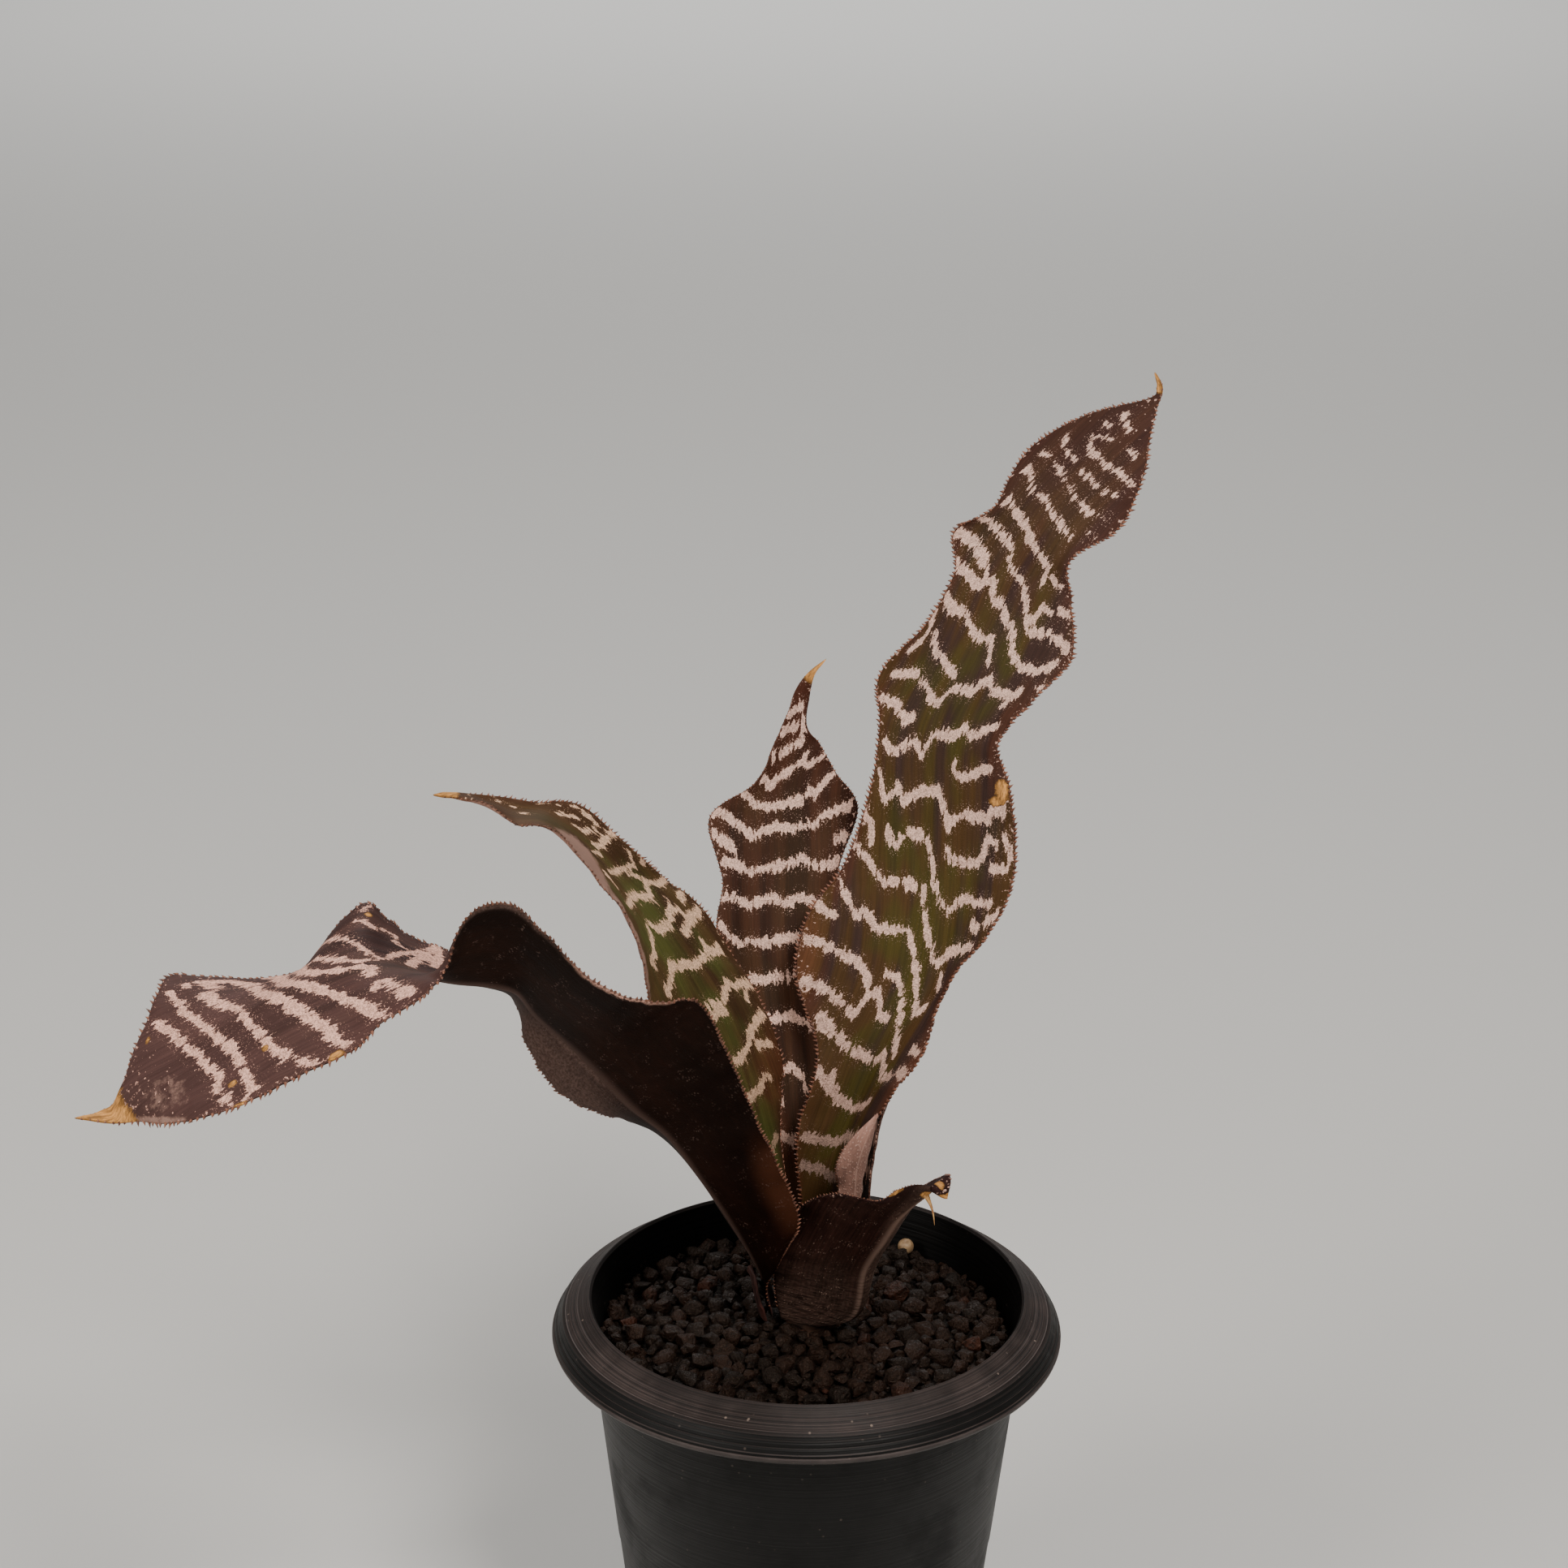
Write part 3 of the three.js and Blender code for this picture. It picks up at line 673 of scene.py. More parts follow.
@dataclass(frozen=True)
class BladeFinish(Finish):
    """Banded upper face, scaly lower face and dried tip of a living leaf."""

    centre: Colour
    streak: Colour
    margin: Colour
    tip: Colour
    green: Colour
    greenness: float = 0.5
    band: Colour = srgb(232, 192, 174)
    # painted shade: this near-black default lower face, kept by the hanging leaf, darkens its shaded
    # underside; most other leaves have pale lower faces
    lower: Colour = srgb(26, 11, 6)
    lower_scale: Colour = srgb(112, 82, 70)
    lower_density: float = 0.3
    lower_rib: float = 0.4
    lower_fibre: float = 0.12
    wrinkle: float = 0.0
    dry: Colour = srgb(206, 148, 84)
    blush: Colour = srgb(106, 62, 42)
    frost: Colour = srgb(150, 119, 107)
    furrow_depth: float = 0.9 * MM
    nerve_height: float = 0.12 * MM
    grain_height: float = 0.2 * MM

    def dress(self, shade: Shade, sockets: Sockets) -> None:
        """Feeds colour, roughness, sheen and relief from the blade's attributes.

        Args:
            shade: Where the finish's nodes are added.
            sockets: Inputs of the surface shader.
        """
        blade = BladeShade(shade.tree, self.lower_density)
        creases = blade.noise(blade.stretched(blade.flat, (0.3, 2.0, 0.3)), 1.0, 3.0, 0.6)
        foot = blade.ramp(blade.along, 0.32, 0.08, 0.0, self.wrinkle)
        under = self.lower_face(blade)
        # painted shade in the creases of the foot's wrinkles and painted light on their crests, from the
        # noise of their relief
        wrinkle_shaded = blade.scaled(under, blade.ramp(creases, 0.36, 0.6, 0.45, 1.35))
        both = blade.mix(blade.upper, blade.mix(foot, under, wrinkle_shaded), self.upper_face(blade))
        blade.feed(sockets["Base Color"], self.dried(blade, both))
        marking = blade.times(blade.bands["Mask"], blade.upper)
        rough = blade.plus(blade.times(marking, 0.25), blade.times(blade.scurf, 0.2))
        rough = blade.plus(rough, blade.ramp(blade.nerves["Ridge"], 0.2, 0.8, 0.54, 0.64))
        blade.feed(sockets["Roughness"], rough)
        blade.feed(sockets["Specular IOR Level"], blade.ramp(blade.upper, 0.0, 1.0, 0.08, 0.13))
        sockets["Specular Tint"].default_value = WARM_SHEEN
        wrinkles = blade.times(creases, blade.times(foot, 0.5))
        blade.feed(sockets["Normal"], self.relief(blade, wrinkles, marking))

    def relief(self, blade: BladeShade, wrinkles: Socket, marking: Socket) -> Socket:
        """Normal with broad furrows, fine nerves, and the grains of bands and scales.

        Args:
            blade: Wrapper of the material's tree.
            wrinkles: Height of the crosswise wrinkles at the blade's foot.
            marking: Share of pale band on the upper face.

        Returns:
            The normal.
        """
        furrow = blade.times(blade.nerves["Streak"], blade.ramp(blade.upper, 0.0, 1.0, 0.15, 1.0))
        normal = self.bump(blade, blade.plus(furrow, wrinkles), 0.5, self.furrow_depth)
        ridge = blade.times(blade.nerves["Ridge"], blade.ramp(blade.upper, 0.0, 1.0, 0.45, 1.0))
        normal = self.bump(blade, ridge, 0.4, self.nerve_height, normal)
        grit = blade.plus(blade.times(marking, 0.7), blade.times(blade.bands["Grain"], 0.6))
        grit = blade.plus(grit, blade.times(blade.scales, blade.minus(1.0, blade.upper)))
        return self.bump(blade, grit, 0.5, self.grain_height, normal)

    def dried(self, blade: BladeShade, colour: Socket) -> Socket:
        """Lays dried tissue with a torn, fibrous edge over a colour.

        Args:
            blade: Shader that holds the blade's attributes.
            colour: Colour that it is laid over.

        Returns:
            The new colour.
        """
        torn = blade.centred(blade.noise(blade.stretched(blade.flat, (1.0, 0.5, 1.0)), 2.0, 4.0, 0.7))
        reach = blade.plus(blade.mark(Mark.DRY), blade.times(torn, 1.4))
        fibre = blade.noise(blade.stretched(blade.flat, (1.6, 0.4, 1.6)), 1.0, 3.0, 0.7)
        tone = blade.mix(blade.ramp(reach, 0.5, 1.0), blade.scaled(self.dry, 0.32), self.dry)
        tone = blade.scaled(tone, blade.ramp(fibre, 0.36, 0.62, 0.5, 1.2))
        return blade.mix(blade.ramp(reach, 0.34, 0.56), colour, blade.nerved(tone, 0.75, 1.15))

    def ground(self, blade: BladeShade) -> Socket:
        """Colour between the bands: streaked, with green patches, redder margins and a browner tip.

        Args:
            blade: Shader that holds the blade's attributes.

        Returns:
            The colour.
        """
        column = blade.plus(blade.nerves["Streak"], blade.times(blade.across, 0.1))
        ground = blade.mix(blade.ramp(column, 0.44, 0.6), self.centre, self.streak)
        patches = blade.noise(blade.stretched(blade.flat, (0.15, 0.06, 0.15)), 1.0, 2.0)
        rib = blade.ramp(blade.apart, 0.16, 0.02, 0.0, 0.6)
        green = blade.times(blade.most(blade.ramp(patches, 0.42, 0.62), rib), self.greenness)
        green = blade.times(green, blade.ramp(blade.apart, 0.95, 0.5))
        green = blade.times(green, blade.ramp(blade.along, 0.9, 0.5, 0.3, 1.0))
        ground = blade.mix(green, ground, self.green)
        edge = blade.plus(blade.apart, blade.times(blade.centred(blade.nerves["Streak"]), 0.9))
        ground = blade.mix(blade.ramp(edge, 0.84, 1.06, 0.0, 0.5), ground, self.margin)
        ground = blade.mix(blade.ramp(blade.along, 0.5, 0.85, 0.0, 0.8), ground, self.tip)
        ground = blade.mix(blade.times(blade.mark(Mark.BLUSH), 0.4), ground, self.blush)
        ground = blade.nerved(ground, 0.86, 1.16)
        return blade.scaled(ground, blade.ramp(blade.nerves["Streak"], 0.35, 0.65, 1.08, 0.88))

    def upper_face(self, blade: BladeShade) -> Socket:
        """Colour of the banded face, with flecks near the tip and the margins, frosted patches, and painted
        shade that darkens the bands toward the base.

        Args:
            blade: Shader that holds the blade's attributes.

        Returns:
            The colour.
        """
        near_tip = blade.ramp(blade.along, 0.7, 0.95, -0.2, 0.05)
        near_margin = blade.ramp(blade.apart, 0.78, 1.0, -0.2, 0.04)
        flecks = blade.plus(blade.noise(blade.flat, 1.3, 3.0, 0.65), blade.most(near_tip, near_margin))
        mask = blade.most(blade.bands["Mask"], blade.ramp(flecks, 0.61, 0.66, 0.0, 0.8))
        marking = blade.scaled(self.band, blade.ramp(blade.bands["Grain"], 0.32, 0.62, 0.5, 1.15))
        marking = blade.scaled(marking, blade.ramp(blade.bands["Cloud"], 0.35, 0.62, 0.78, 1.05))
        # painted shade: the bands darken toward the blade's base, where the leaves shade one another
        marking = blade.scaled(marking, blade.ramp(blade.along, 0.05, 0.28, 0.3, 1.0))
        marked = blade.mix(blade.times(mask, 0.96), self.ground(blade), marking)
        clumps = blade.centred(blade.noise(blade.flat, 0.8, 4.0, 0.72))
        frost = blade.plus(blade.mark(Mark.FROST), clumps)
        return blade.mix(blade.ramp(frost, 0.3, 0.72, 0.0, 0.85), marked, self.frost)

    def lower_face(self, blade: BladeShade) -> Socket:
        """Colour of the scaly lower face, with a paler rib and dense scurf in places.

        Args:
            blade: Shader that holds the blade's attributes.

        Returns:
            The colour.
        """
        cloud = blade.noise(blade.stretched(blade.flat, (0.1, 0.03, 0.1)), 1.0, 2.0)
        mottle = blade.noise(blade.stretched(blade.flat, (0.7, 0.3, 0.7)), 1.0, 3.0, 0.6)
        under = blade.scaled(self.lower, blade.ramp(cloud, 0.35, 0.65, 0.7, 1.4))
        under = blade.scaled(under, blade.ramp(mottle, 0.35, 0.65, 0.84, 1.14))
        under = blade.nerved(under, 1.0 - self.lower_fibre, 1.0 + self.lower_fibre)
        under = blade.mix(blade.times(blade.mark(Mark.BLUSH), 0.35), under, self.blush)
        clumps = blade.ramp(blade.noise(blade.flat, 1.6, 3.0, 0.65), 0.3, 0.7, 0.3, 0.75)
        in_furrows = blade.ramp(blade.nerves["Ridge"], 0.3, 0.7, 1.0 - self.lower_fibre, 1.0)
        cover = blade.times(blade.times(blade.scurf, clumps), in_furrows)
        cover = blade.most(cover, blade.ramp(blade.apart, 0.09, 0.0, 0.0, self.lower_rib))
        cover = blade.most(cover, blade.times(blade.scales, 0.6))
        return blade.mix(cover, under, self.lower_scale)


@dataclass(frozen=True)
class PlainFinish(Finish):
    """Mottled matt finish for bark, dried tissue, teeth and the pellet."""

    light: Colour
    dark: Colour
    scale: float = 500.0
    stretch: Point = (1.0, 1.0, 1.0)
    roughness: float = 0.7
    unevenness: float = 0.12
    relief: float = 0.2 * MM

    def dress(self, shade: Shade, sockets: Sockets) -> None:
        """Feeds a two-tone mottle with its own relief.

        Args:
            shade: Where the finish's nodes are added.
            sockets: Inputs of the surface shader.
        """
        mottle = shade.noise(shade.stretched(shade.place(), self.stretch), self.scale, 4.0, 0.6)
        smooth, rough = self.roughness - self.unevenness, min(1.0, self.roughness + self.unevenness)
        shade.feed(sockets["Base Color"], shade.mix(shade.ramp(mottle, 0.3, 0.7), self.dark, self.light))
        shade.feed(sockets["Roughness"], shade.ramp(mottle, 0.2, 0.8, smooth, rough))
        shade.feed(sockets["Normal"], self.bump(shade, mottle, 0.6, self.relief))


@dataclass(frozen=True)
class GranuleFinish(Finish):
    """Crumbly angular granules whose tone changes from one to the next, with painted shade in their pits."""

    dark: Colour = srgb(13, 7, 4)
    light: Colour = srgb(31, 17, 10)
    reddish: Colour = srgb(52, 24, 13)
    grain: Colour = srgb(66, 40, 25)
    pit_shade: Colour = srgb(8, 4, 2)
    grain_scale: float = 2600.0
    crumb_scale: float = 900.0
    grain_height: float = 0.3 * MM
    crumb_height: float = 1.1 * MM

    def dress(self, shade: Shade, sockets: Sockets) -> None:
        """Reads each granule's tone, paints shade into the pits of the crumb relief and roughens it.

        Args:
            shade: Where the finish's nodes are added.
            sockets: Inputs of the surface shader.
        """
        tone = shade.number("tone")
        place = shade.place()
        grains = shade.noise(place, self.grain_scale, 4.0, 0.7)
        crumbs = shade.noise(place, self.crumb_scale, 3.0, 0.6)
        base = shade.mix(shade.ramp(tone, 0.0, 0.9), self.dark, self.light)
        base = shade.mix(shade.ramp(tone, 0.95, 1.0), base, self.reddish)
        base = shade.mix(shade.ramp(grains, 0.52, 0.74, 0.0, 0.35), base, self.grain)
        # painted shade: darkest where the crumb relief is lowest, in its pits
        base = shade.mix(shade.ramp(crumbs, 0.52, 0.32, 0.0, 0.75), base, self.pit_shade)
        shade.feed(sockets["Base Color"], base)
        shade.feed(sockets["Roughness"], shade.ramp(grains, 0.4, 0.68, 0.75, 0.24))
        relief = self.bump(shade, crumbs, 1.0, self.crumb_height)
        shade.feed(sockets["Normal"], self.bump(shade, grains, 0.6, self.grain_height, relief))
        sockets["Specular IOR Level"].default_value = 0.3
        sockets["Specular Tint"].default_value = WARM_SHEEN


@dataclass(frozen=True)
class PotFinish(Finish):
    """Satin charcoal plastic with turned rings, dust, a few specks and a painted highlight on the skirt's
    lip. Heights and radii are in metres.
    """

    black: Colour = srgb(6, 6, 6)
    worn: Colour = srgb(15, 14, 13)
    dust: Colour = srgb(94, 80, 76)
    lip_highlight: Colour = srgb(78, 70, 68)
    scratch: Colour = srgb(112, 98, 94)
    speck: Colour = srgb(150, 132, 120)
    lip_height: float = 78.5 * MM
    lip_radius: float = 44.7 * MM
    ring_depth: float = 0.15 * MM
    broad_ring_depth: float = 0.3 * MM

    def dress(self, shade: Shade, sockets: Sockets) -> None:
        """Feeds the plastic's tone, gloss and rings. Only the sloping rim holds a film of dust.

        Args:
            shade: Where the finish's nodes are added.
            sockets: Inputs of the surface shader.
        """
        rings = RINGS.use(shade, Radius_Scale=3400.0, Height_Scale=1500.0)
        broad = RINGS.use(shade, Radius_Scale=1100.0, Height_Scale=420.0)
        dust = DUST.use(shade, Amount=0.6)
        facing = shade.parts(shade.node("ShaderNodeNewGeometry").outputs["True Normal"])
        sloping = shade.ramp(facing["Z"], 0.6, 0.82)
        film = shade.times(shade.plus(dust["Film"], 0.5), sloping)
        film = shade.times(film, shade.ramp(rings["Relief"], 0.35, 0.65, 0.35, 1.0))
        base = shade.mix(rings["Relief"], self.black, self.worn)
        base = shade.mix(shade.times(film, 0.55), base, self.dust)
        # painted highlight: a greyer band where the skirt's lower lip would catch the light
        base = shade.mix(self.lip(shade, dust["Film"]), base, self.lip_highlight)
        scratches = shade.times(rings["Line"], shade.times(sloping, 0.5))
        base = shade.mix(scratches, base, self.scratch)
        specks = shade.times(dust["Specks"], shade.plus(shade.times(sloping, 0.75), 0.25))
        shade.feed(sockets["Base Color"], shade.mix(specks, base, self.speck))
        gloss = shade.plus(shade.times(rings["Relief"], 0.2), 0.36)
        shade.feed(sockets["Roughness"], shade.plus(gloss, shade.times(dust["Film"], 0.3)))
        relief = self.bump(shade, broad["Relief"], 0.5, self.broad_ring_depth)
        shade.feed(sockets["Normal"], self.bump(shade, rings["Relief"], 0.8, self.ring_depth, relief))
        sockets["Specular IOR Level"].default_value = 0.2

    def lip(self, shade: Shade, film: Socket) -> Socket:
        """Share of the greyer painted highlight along the skirt's lower lip, stronger where the dust film is.

        Args:
            shade: Where the nodes are added.
            film: Dust on the plastic.

        Returns:
            The share, from 0 to 0.8.
        """
        soft_edge = 0.2 * MM
        height = shade.parts(shade.place())["Z"]
        below = shade.ramp(height, self.lip_height + soft_edge, self.lip_height - soft_edge)
        low, high = self.lip_radius - 0.5 * soft_edge, self.lip_radius + 0.5 * soft_edge
        outside = shade.ramp(shade.radius(), low, high)
        return shade.times(shade.times(below, outside), shade.ramp(film, 0.0, 0.4, 0.5, 0.8))


# ---------------------------------------------------------------- leaves
Station = tuple[Point, Point, Point]
Line = tuple[tuple[float, float], ...]

LENGTHWISE = 0.5  # what a length along a blade counts for in the distance to a band
NO_BAND = 6.0  # millimetres to a band where none is near
BAND_SAMPLES = 30  # points on a band's middle line for each of its corners
STEP_ALONG = 0.004  # shares of the blade over which its directions are measured
STEP_ACROSS = 0.08
LONG_RIPPLE = 4.2  # millimetres along the margin
SHORT_RIPPLE = 1.9
EDGE_ROUNDNESS = 9
BASE_ROUND = 0.006  # shares of the length over which the two ends thin out
TIP_ROUND = 0.03
CROWDING = 0.38  # how much the columns crowd toward the margins
FACE_BLEND = 0.2  # millimetres of thickness over which one face's look gives way to the other's
FACES_APART = 40.0  # millimetres that part the noise of the two faces
BLADES_APART = 7.0
MARGIN_STEPS = 3000
FIRST_TOOTH = 3.0  # millimetres from the base
LAST_TOOTH = 1.0  # millimetres before the tip
TOOTH_SINK = 0.16  # millimetres of its foot that lie in the blade
TOOTH_END = 0.015  # radius of its point in millimetres
FULL_TOOTH_WIDTH = 2.5  # narrower stretches of blade carry shorter teeth


def rail_points(points: np.ndarray, along: np.ndarray) -> np.ndarray:
    """Points on a smooth curve that passes through evenly counted stations.

    Args:
        points: The stations, one row each.
        along: Shares of the curve from 0 to 1.

    Returns:
        One point for each share.
    """
    last = len(points) - 1
    place = along * last
    index = np.clip(np.floor(place).astype(int), 0, last - 1)
    w = (place - index)[..., None]
    p1 = points[index]
    p2 = points[index + 1]
    before = points[np.maximum(index - 1, 0)]
    after = points[np.minimum(index + 2, last)]
    p0 = np.where((index > 0)[..., None], before, 2.0 * points[0] - points[1])
    p3 = np.where((index + 2 <= last)[..., None], after, 2.0 * points[last] - points[last - 1])
    square = (2.0 * p0 - 5.0 * p1 + 4.0 * p2 - p3) * w**2
    cube = (3.0 * p1 - p0 - 3.0 * p2 + p3) * w**3
    return 0.5 * (2.0 * p1 + (p2 - p0) * w + square + cube)


def unit(vectors: np.ndarray) -> np.ndarray:
    """Vectors of length 1, one row each."""
    return vectors / np.maximum(np.linalg.norm(vectors, axis=-1, keepdims=True), TINY)


@dataclass(frozen=True)
class Band:
    """One pale cross band: its middle line and half its width in millimetres.

    Each point of the line is a share across the blade, from -1 to 1, and a per cent of the blade's length.
    """

    line: Line
    half_width: float = 0.5


def bands(half_width: float, *lines: Line) -> tuple[Band, ...]:
    """Bands of one width."""
    return tuple(Band(line, half_width) for line in lines)


def zigzags(first: float, last: float, step: float, seed: int, half_width: float) -> tuple[Band, ...]:
    """Evenly spaced bands that jog up and down from margin to margin, some of them broken.

    Args:
        first: Per cent of the blade's length at the first band.
        last: Per cent of the blade's length that no band reaches.
        step: Per cent from one band to the next.
        seed: Picks the jogs.
        half_width: Half the bands' width in millimetres.

    Returns:
        The bands.
    """
    corners = 13
    drift_step = 0.14
    tallest_jog = 0.16
    sag = 0.35
    break_chance = 0.07
    break_shift = 0.35
    chance = np.random.default_rng(seed)
    made = []
    for middle in np.arange(first, last, step):
        drift = 0.0
        line = []
        for number, across in enumerate(np.linspace(-1.0, 1.0, corners)):
            drift += chance.uniform(-drift_step, drift_step)
            jog = drift + (-1.0) ** number * chance.uniform(0.0, tallest_jog) - sag * across**2
            line.append((float(across), float(middle + step * jog)))
            if chance.uniform() < break_chance:
                made.append(Band(tuple(line), half_width))
                drift += chance.choice((-break_shift, break_shift))
                line = []
        if line:
            made.append(Band(tuple(line), half_width))
    return tuple(made)


@dataclass(frozen=True)
class Patch:
    """Oval stretch of a blade that carries a mark.

    Its middle is a per cent of the blade's length and a share across it, from -1 to 1. Half its length and
    half its width are in millimetres.
    """

    mark: Mark
    per_cent: float
    across: float
    length: float
    width: float
    strength: float = 1.0


@dataclass
class Leaf:
    """One blade: its rails, cross-section, teeth, bands and finish."""

    node: str
    finish: Finish
    stations: tuple[Station, ...]
    cup: float = 0.8
    rows: int = 300
    columns: int = 60
    middle_thickness: float = 0.9
    margin_thickness: float = 0.62
    tooth_length: float = 0.55
    tooth_spacing: float = 0.75
    tooth_radius: float = 0.21
    ripple: float = 0.26
    bands: tuple[Band, ...] = ()
    patches: tuple[Patch, ...] = ()
    dry_tip: float = 5.0
    seed: float = 1.0
    slot: str = "leaf_tissue"
    own_solid: bool = True
    left_teeth_from: float = 0.0
    right_teeth_from: float = 0.0
    shares: np.ndarray = field(init=False)
    arcs: np.ndarray = field(init=False)
    halves: tuple[np.ndarray, np.ndarray] = field(init=False)

    def __post_init__(self) -> None:
        """Measures the midrib and the two half widths once."""
        self.shares = np.linspace(0.0, 1.0, self.rows + 1)
        rib, left, right = self.rails(self.shares)
        steps = np.linalg.norm(np.diff(rib, axis=0), axis=1)
        self.arcs = np.concatenate([[0.0], np.cumsum(steps)])
        self.halves = (np.linalg.norm(left - rib, axis=1), np.linalg.norm(right - rib, axis=1))

    def rails(self, along: np.ndarray) -> tuple[np.ndarray, np.ndarray, np.ndarray]:
        """Midrib, left margin and right margin at shares of the length."""
        table = np.array(self.stations, float)
        return tuple(rail_points(table[:, column], along) for column in range(3))

    def surface(self, along: np.ndarray, across: np.ndarray) -> np.ndarray:
        """Middle surface of the blade in millimetres, without its fine waves.

        Args:
            along: Shares from base to tip.
            across: Shares from -1 at the left margin to 1 at the right one.

        Returns:
            One point for each pair.
        """
        rib, left, right = self.rails(along)
        left, right = left - rib, right - rib
        side = across[..., None]
        folded = np.where(side < 0.0, left, right) * np.abs(side)
        trough = side / 2.0 * (right - left) + side**2 / 2.0 * (right + left)
        return rib + folded * (1.0 - self.cup) + trough * self.cup

    def normals(self, along: np.ndarray, across: np.ndarray) -> np.ndarray:
        """Unit normals that point out of the upper face.

        Args:
            along: Shares from base to tip.
            across: Shares from margin to margin.

        Returns:
            One unit vector for each pair.
        """
        ahead = self.surface(np.minimum(along + STEP_ALONG, 1.0), across)
        behind = self.surface(np.maximum(along - STEP_ALONG, 0.0), across)
        right = self.surface(along, np.minimum(across + STEP_ACROSS, 1.0))
        left = self.surface(along, np.maximum(across - STEP_ACROSS, -1.0))
        return unit(np.cross(right - left, ahead - behind))

    def waves(self, along: np.ndarray, across: np.ndarray) -> np.ndarray:
        """Height of the fine waves of the blade in millimetres, strongest at the margins.

        Args:
            along: Shares from base to tip.
            across: Shares from margin to margin.

        Returns:
            One height for each pair.
        """
        height = np.zeros_like(along)
        for side, seed in ((-1.0, self.seed), (1.0, self.seed + 9.0)):
            run = wander(self.arcs, LONG_RIPPLE, seed) + 0.5 * wander(self.arcs, SHORT_RIPPLE, seed + 5.0)
            height = np.where(across * side > 0.0, np.interp(along, self.shares, run), height)
        return self.ripple * height * np.abs(across) ** 2.5 * smooth_step(along, 0.04, 0.2)

    def waved(self, along: np.ndarray, across: np.ndarray) -> np.ndarray:
        """Middle surface with its fine waves."""
        return self.surface(along, across) + self.normals(along, across) * self.waves(along, across)[:, None]

    def offset(self, along: np.ndarray, across: np.ndarray) -> np.ndarray:
        """Half the blade's thickness in millimetres, thinned to its rounded edges.

        Args:
            along: Shares from base to tip.
            across: Shares from margin to margin.

        Returns:
            One half thickness for each pair.
        """
        thinning = self.margin_thickness - self.middle_thickness
        size = 0.5 * (self.middle_thickness + thinning * np.abs(across))
        edge = np.sqrt(np.clip(1.0 - np.abs(across) ** EDGE_ROUNDNESS, 0.0, 1.0))
        base = np.sqrt(np.clip(along / BASE_ROUND, 0.0, 1.0))
        end = np.sqrt(np.clip((1.0 - along) / TIP_ROUND, 0.0, 1.0))
        return size * edge * base * end

    def half_width(self, along: np.ndarray, across: np.ndarray) -> np.ndarray:
        """Width, in millimetres, of the half of the blade that each point lies on."""
        return np.where(across < 0.0, *(np.interp(along, self.shares, width) for width in self.halves))

    def blade(self) -> Piece:
        """Builds the blade as one closed, thin sheet.

        The grid is wrapped round the blade: its first half is the upper face and its second half the
        lower one.

        Returns:
            The piece.
        """
        bm = bmesh.new()
        bmesh.ops.create_grid(bm, x_segments=2 * self.columns, y_segments=self.rows, size=1.0)
        spots = np.array([vert.co[:] for vert in bm.verts])
        wrap = (spots[:, 0] + 1.0) * 2.0
        along = np.clip((spots[:, 1] + 1.0) / 2.0, 0.0, 1.0)
        upper = wrap <= 2.0
        across = np.where(upper, wrap - 1.0, 3.0 - wrap)
        across = np.clip((1.0 - CROWDING) * across + CROWDING * np.sin(0.5 * math.pi * across), -1.0, 1.0)
        thick = np.where(upper, 1.0, -1.0) * self.offset(along, across)
        points = (self.waved(along, across) + self.normals(along, across) * thick[:, None]) * MM
        arc = np.interp(along, self.shares, self.arcs)
        half = self.half_width(along, across)
        values = {
            "along": along,
            "across": across,
            "upper": np.clip(0.5 + thick / FACE_BLEND, 0.0, 1.0),
            "band": self.band_distance(across * half, arc),
            **{mark.value: self.marked(mark, arc, across, half) for mark in Mark},
        }
        values["upper"] += values[Mark.TURNED.value] * (1.0 - 2.0 * values["upper"])
        depth = np.where(upper, 0.0, FACES_APART) + BLADES_APART * self.seed
        flat = np.stack([across * half, arc, depth], axis=1)
        layers = {key: bm.verts.layers.float.new(key) for key in values}
        flat_layer = bm.verts.layers.float_vector.new("flat")
        for number, vert in enumerate(bm.verts):
            vert.co = points[number]
            for key, layer in layers.items():
                vert[layer] = float(values[key][number])
            vert[flat_layer] = Vector(flat[number])
        bmesh.ops.remove_doubles(bm, verts=bm.verts, dist=0.004 * MM)
        if bm.calc_volume(signed=True) < 0.0:
            bmesh.ops.reverse_faces(bm, faces=bm.faces)
        stands_for = (self.node,) if self.own_solid else ()
        return to_piece(bm, f"blade_{self.node}", self.finish.make(), stands_for)

    def band_distance(self, sideways: np.ndarray, arc: np.ndarray) -> np.ndarray:
        """Distance from each point to the nearest band's edge, negative inside the band.

        Lengths along the blade count half, so a band is thicker where it crosses the blade than where it runs
        along it.

        Args:
            sideways: Distance right of the midrib in millimetres.
            arc: Length from the base in millimetres.

        Returns:
            One distance for each point, at most NO_BAND.
        """
        nearest = np.full(len(arc), NO_BAND)
        for half_width in sorted({band.half_width for band in self.bands}):
            alike = [band for band in self.bands if band.half_width == half_width]
            cloud = np.concatenate([self.band_samples(band) for band in alike])
            tree = kdtree.KDTree(len(cloud))
            for number, (x, y) in enumerate(cloud):
                tree.insert((x, y, 0.0), number)
            tree.balance()
            found = np.array([tree.find((x, y, 0.0))[2] for x, y in zip(sideways, LENGTHWISE * arc)])
            nearest = np.minimum(nearest, found - half_width)
        return nearest

    def band_samples(self, band: Band) -> np.ndarray:
        """Points close together on one band's middle line: sideways and lengthwise millimetres.

        Args:
            band: The band.

        Returns:
            One row for each point.
        """
        table = np.array(band.line, float)
        order = np.arange(len(table))
        steps = np.linspace(0.0, len(table) - 1.0, BAND_SAMPLES * len(table))
        across = np.interp(steps, order, table[:, 0])
        along = np.interp(steps, order, table[:, 1]) / 100.0
        sideways = across * self.half_width(along, across)
        return np.stack([sideways, LENGTHWISE * np.interp(along, self.shares, self.arcs)], axis=1)

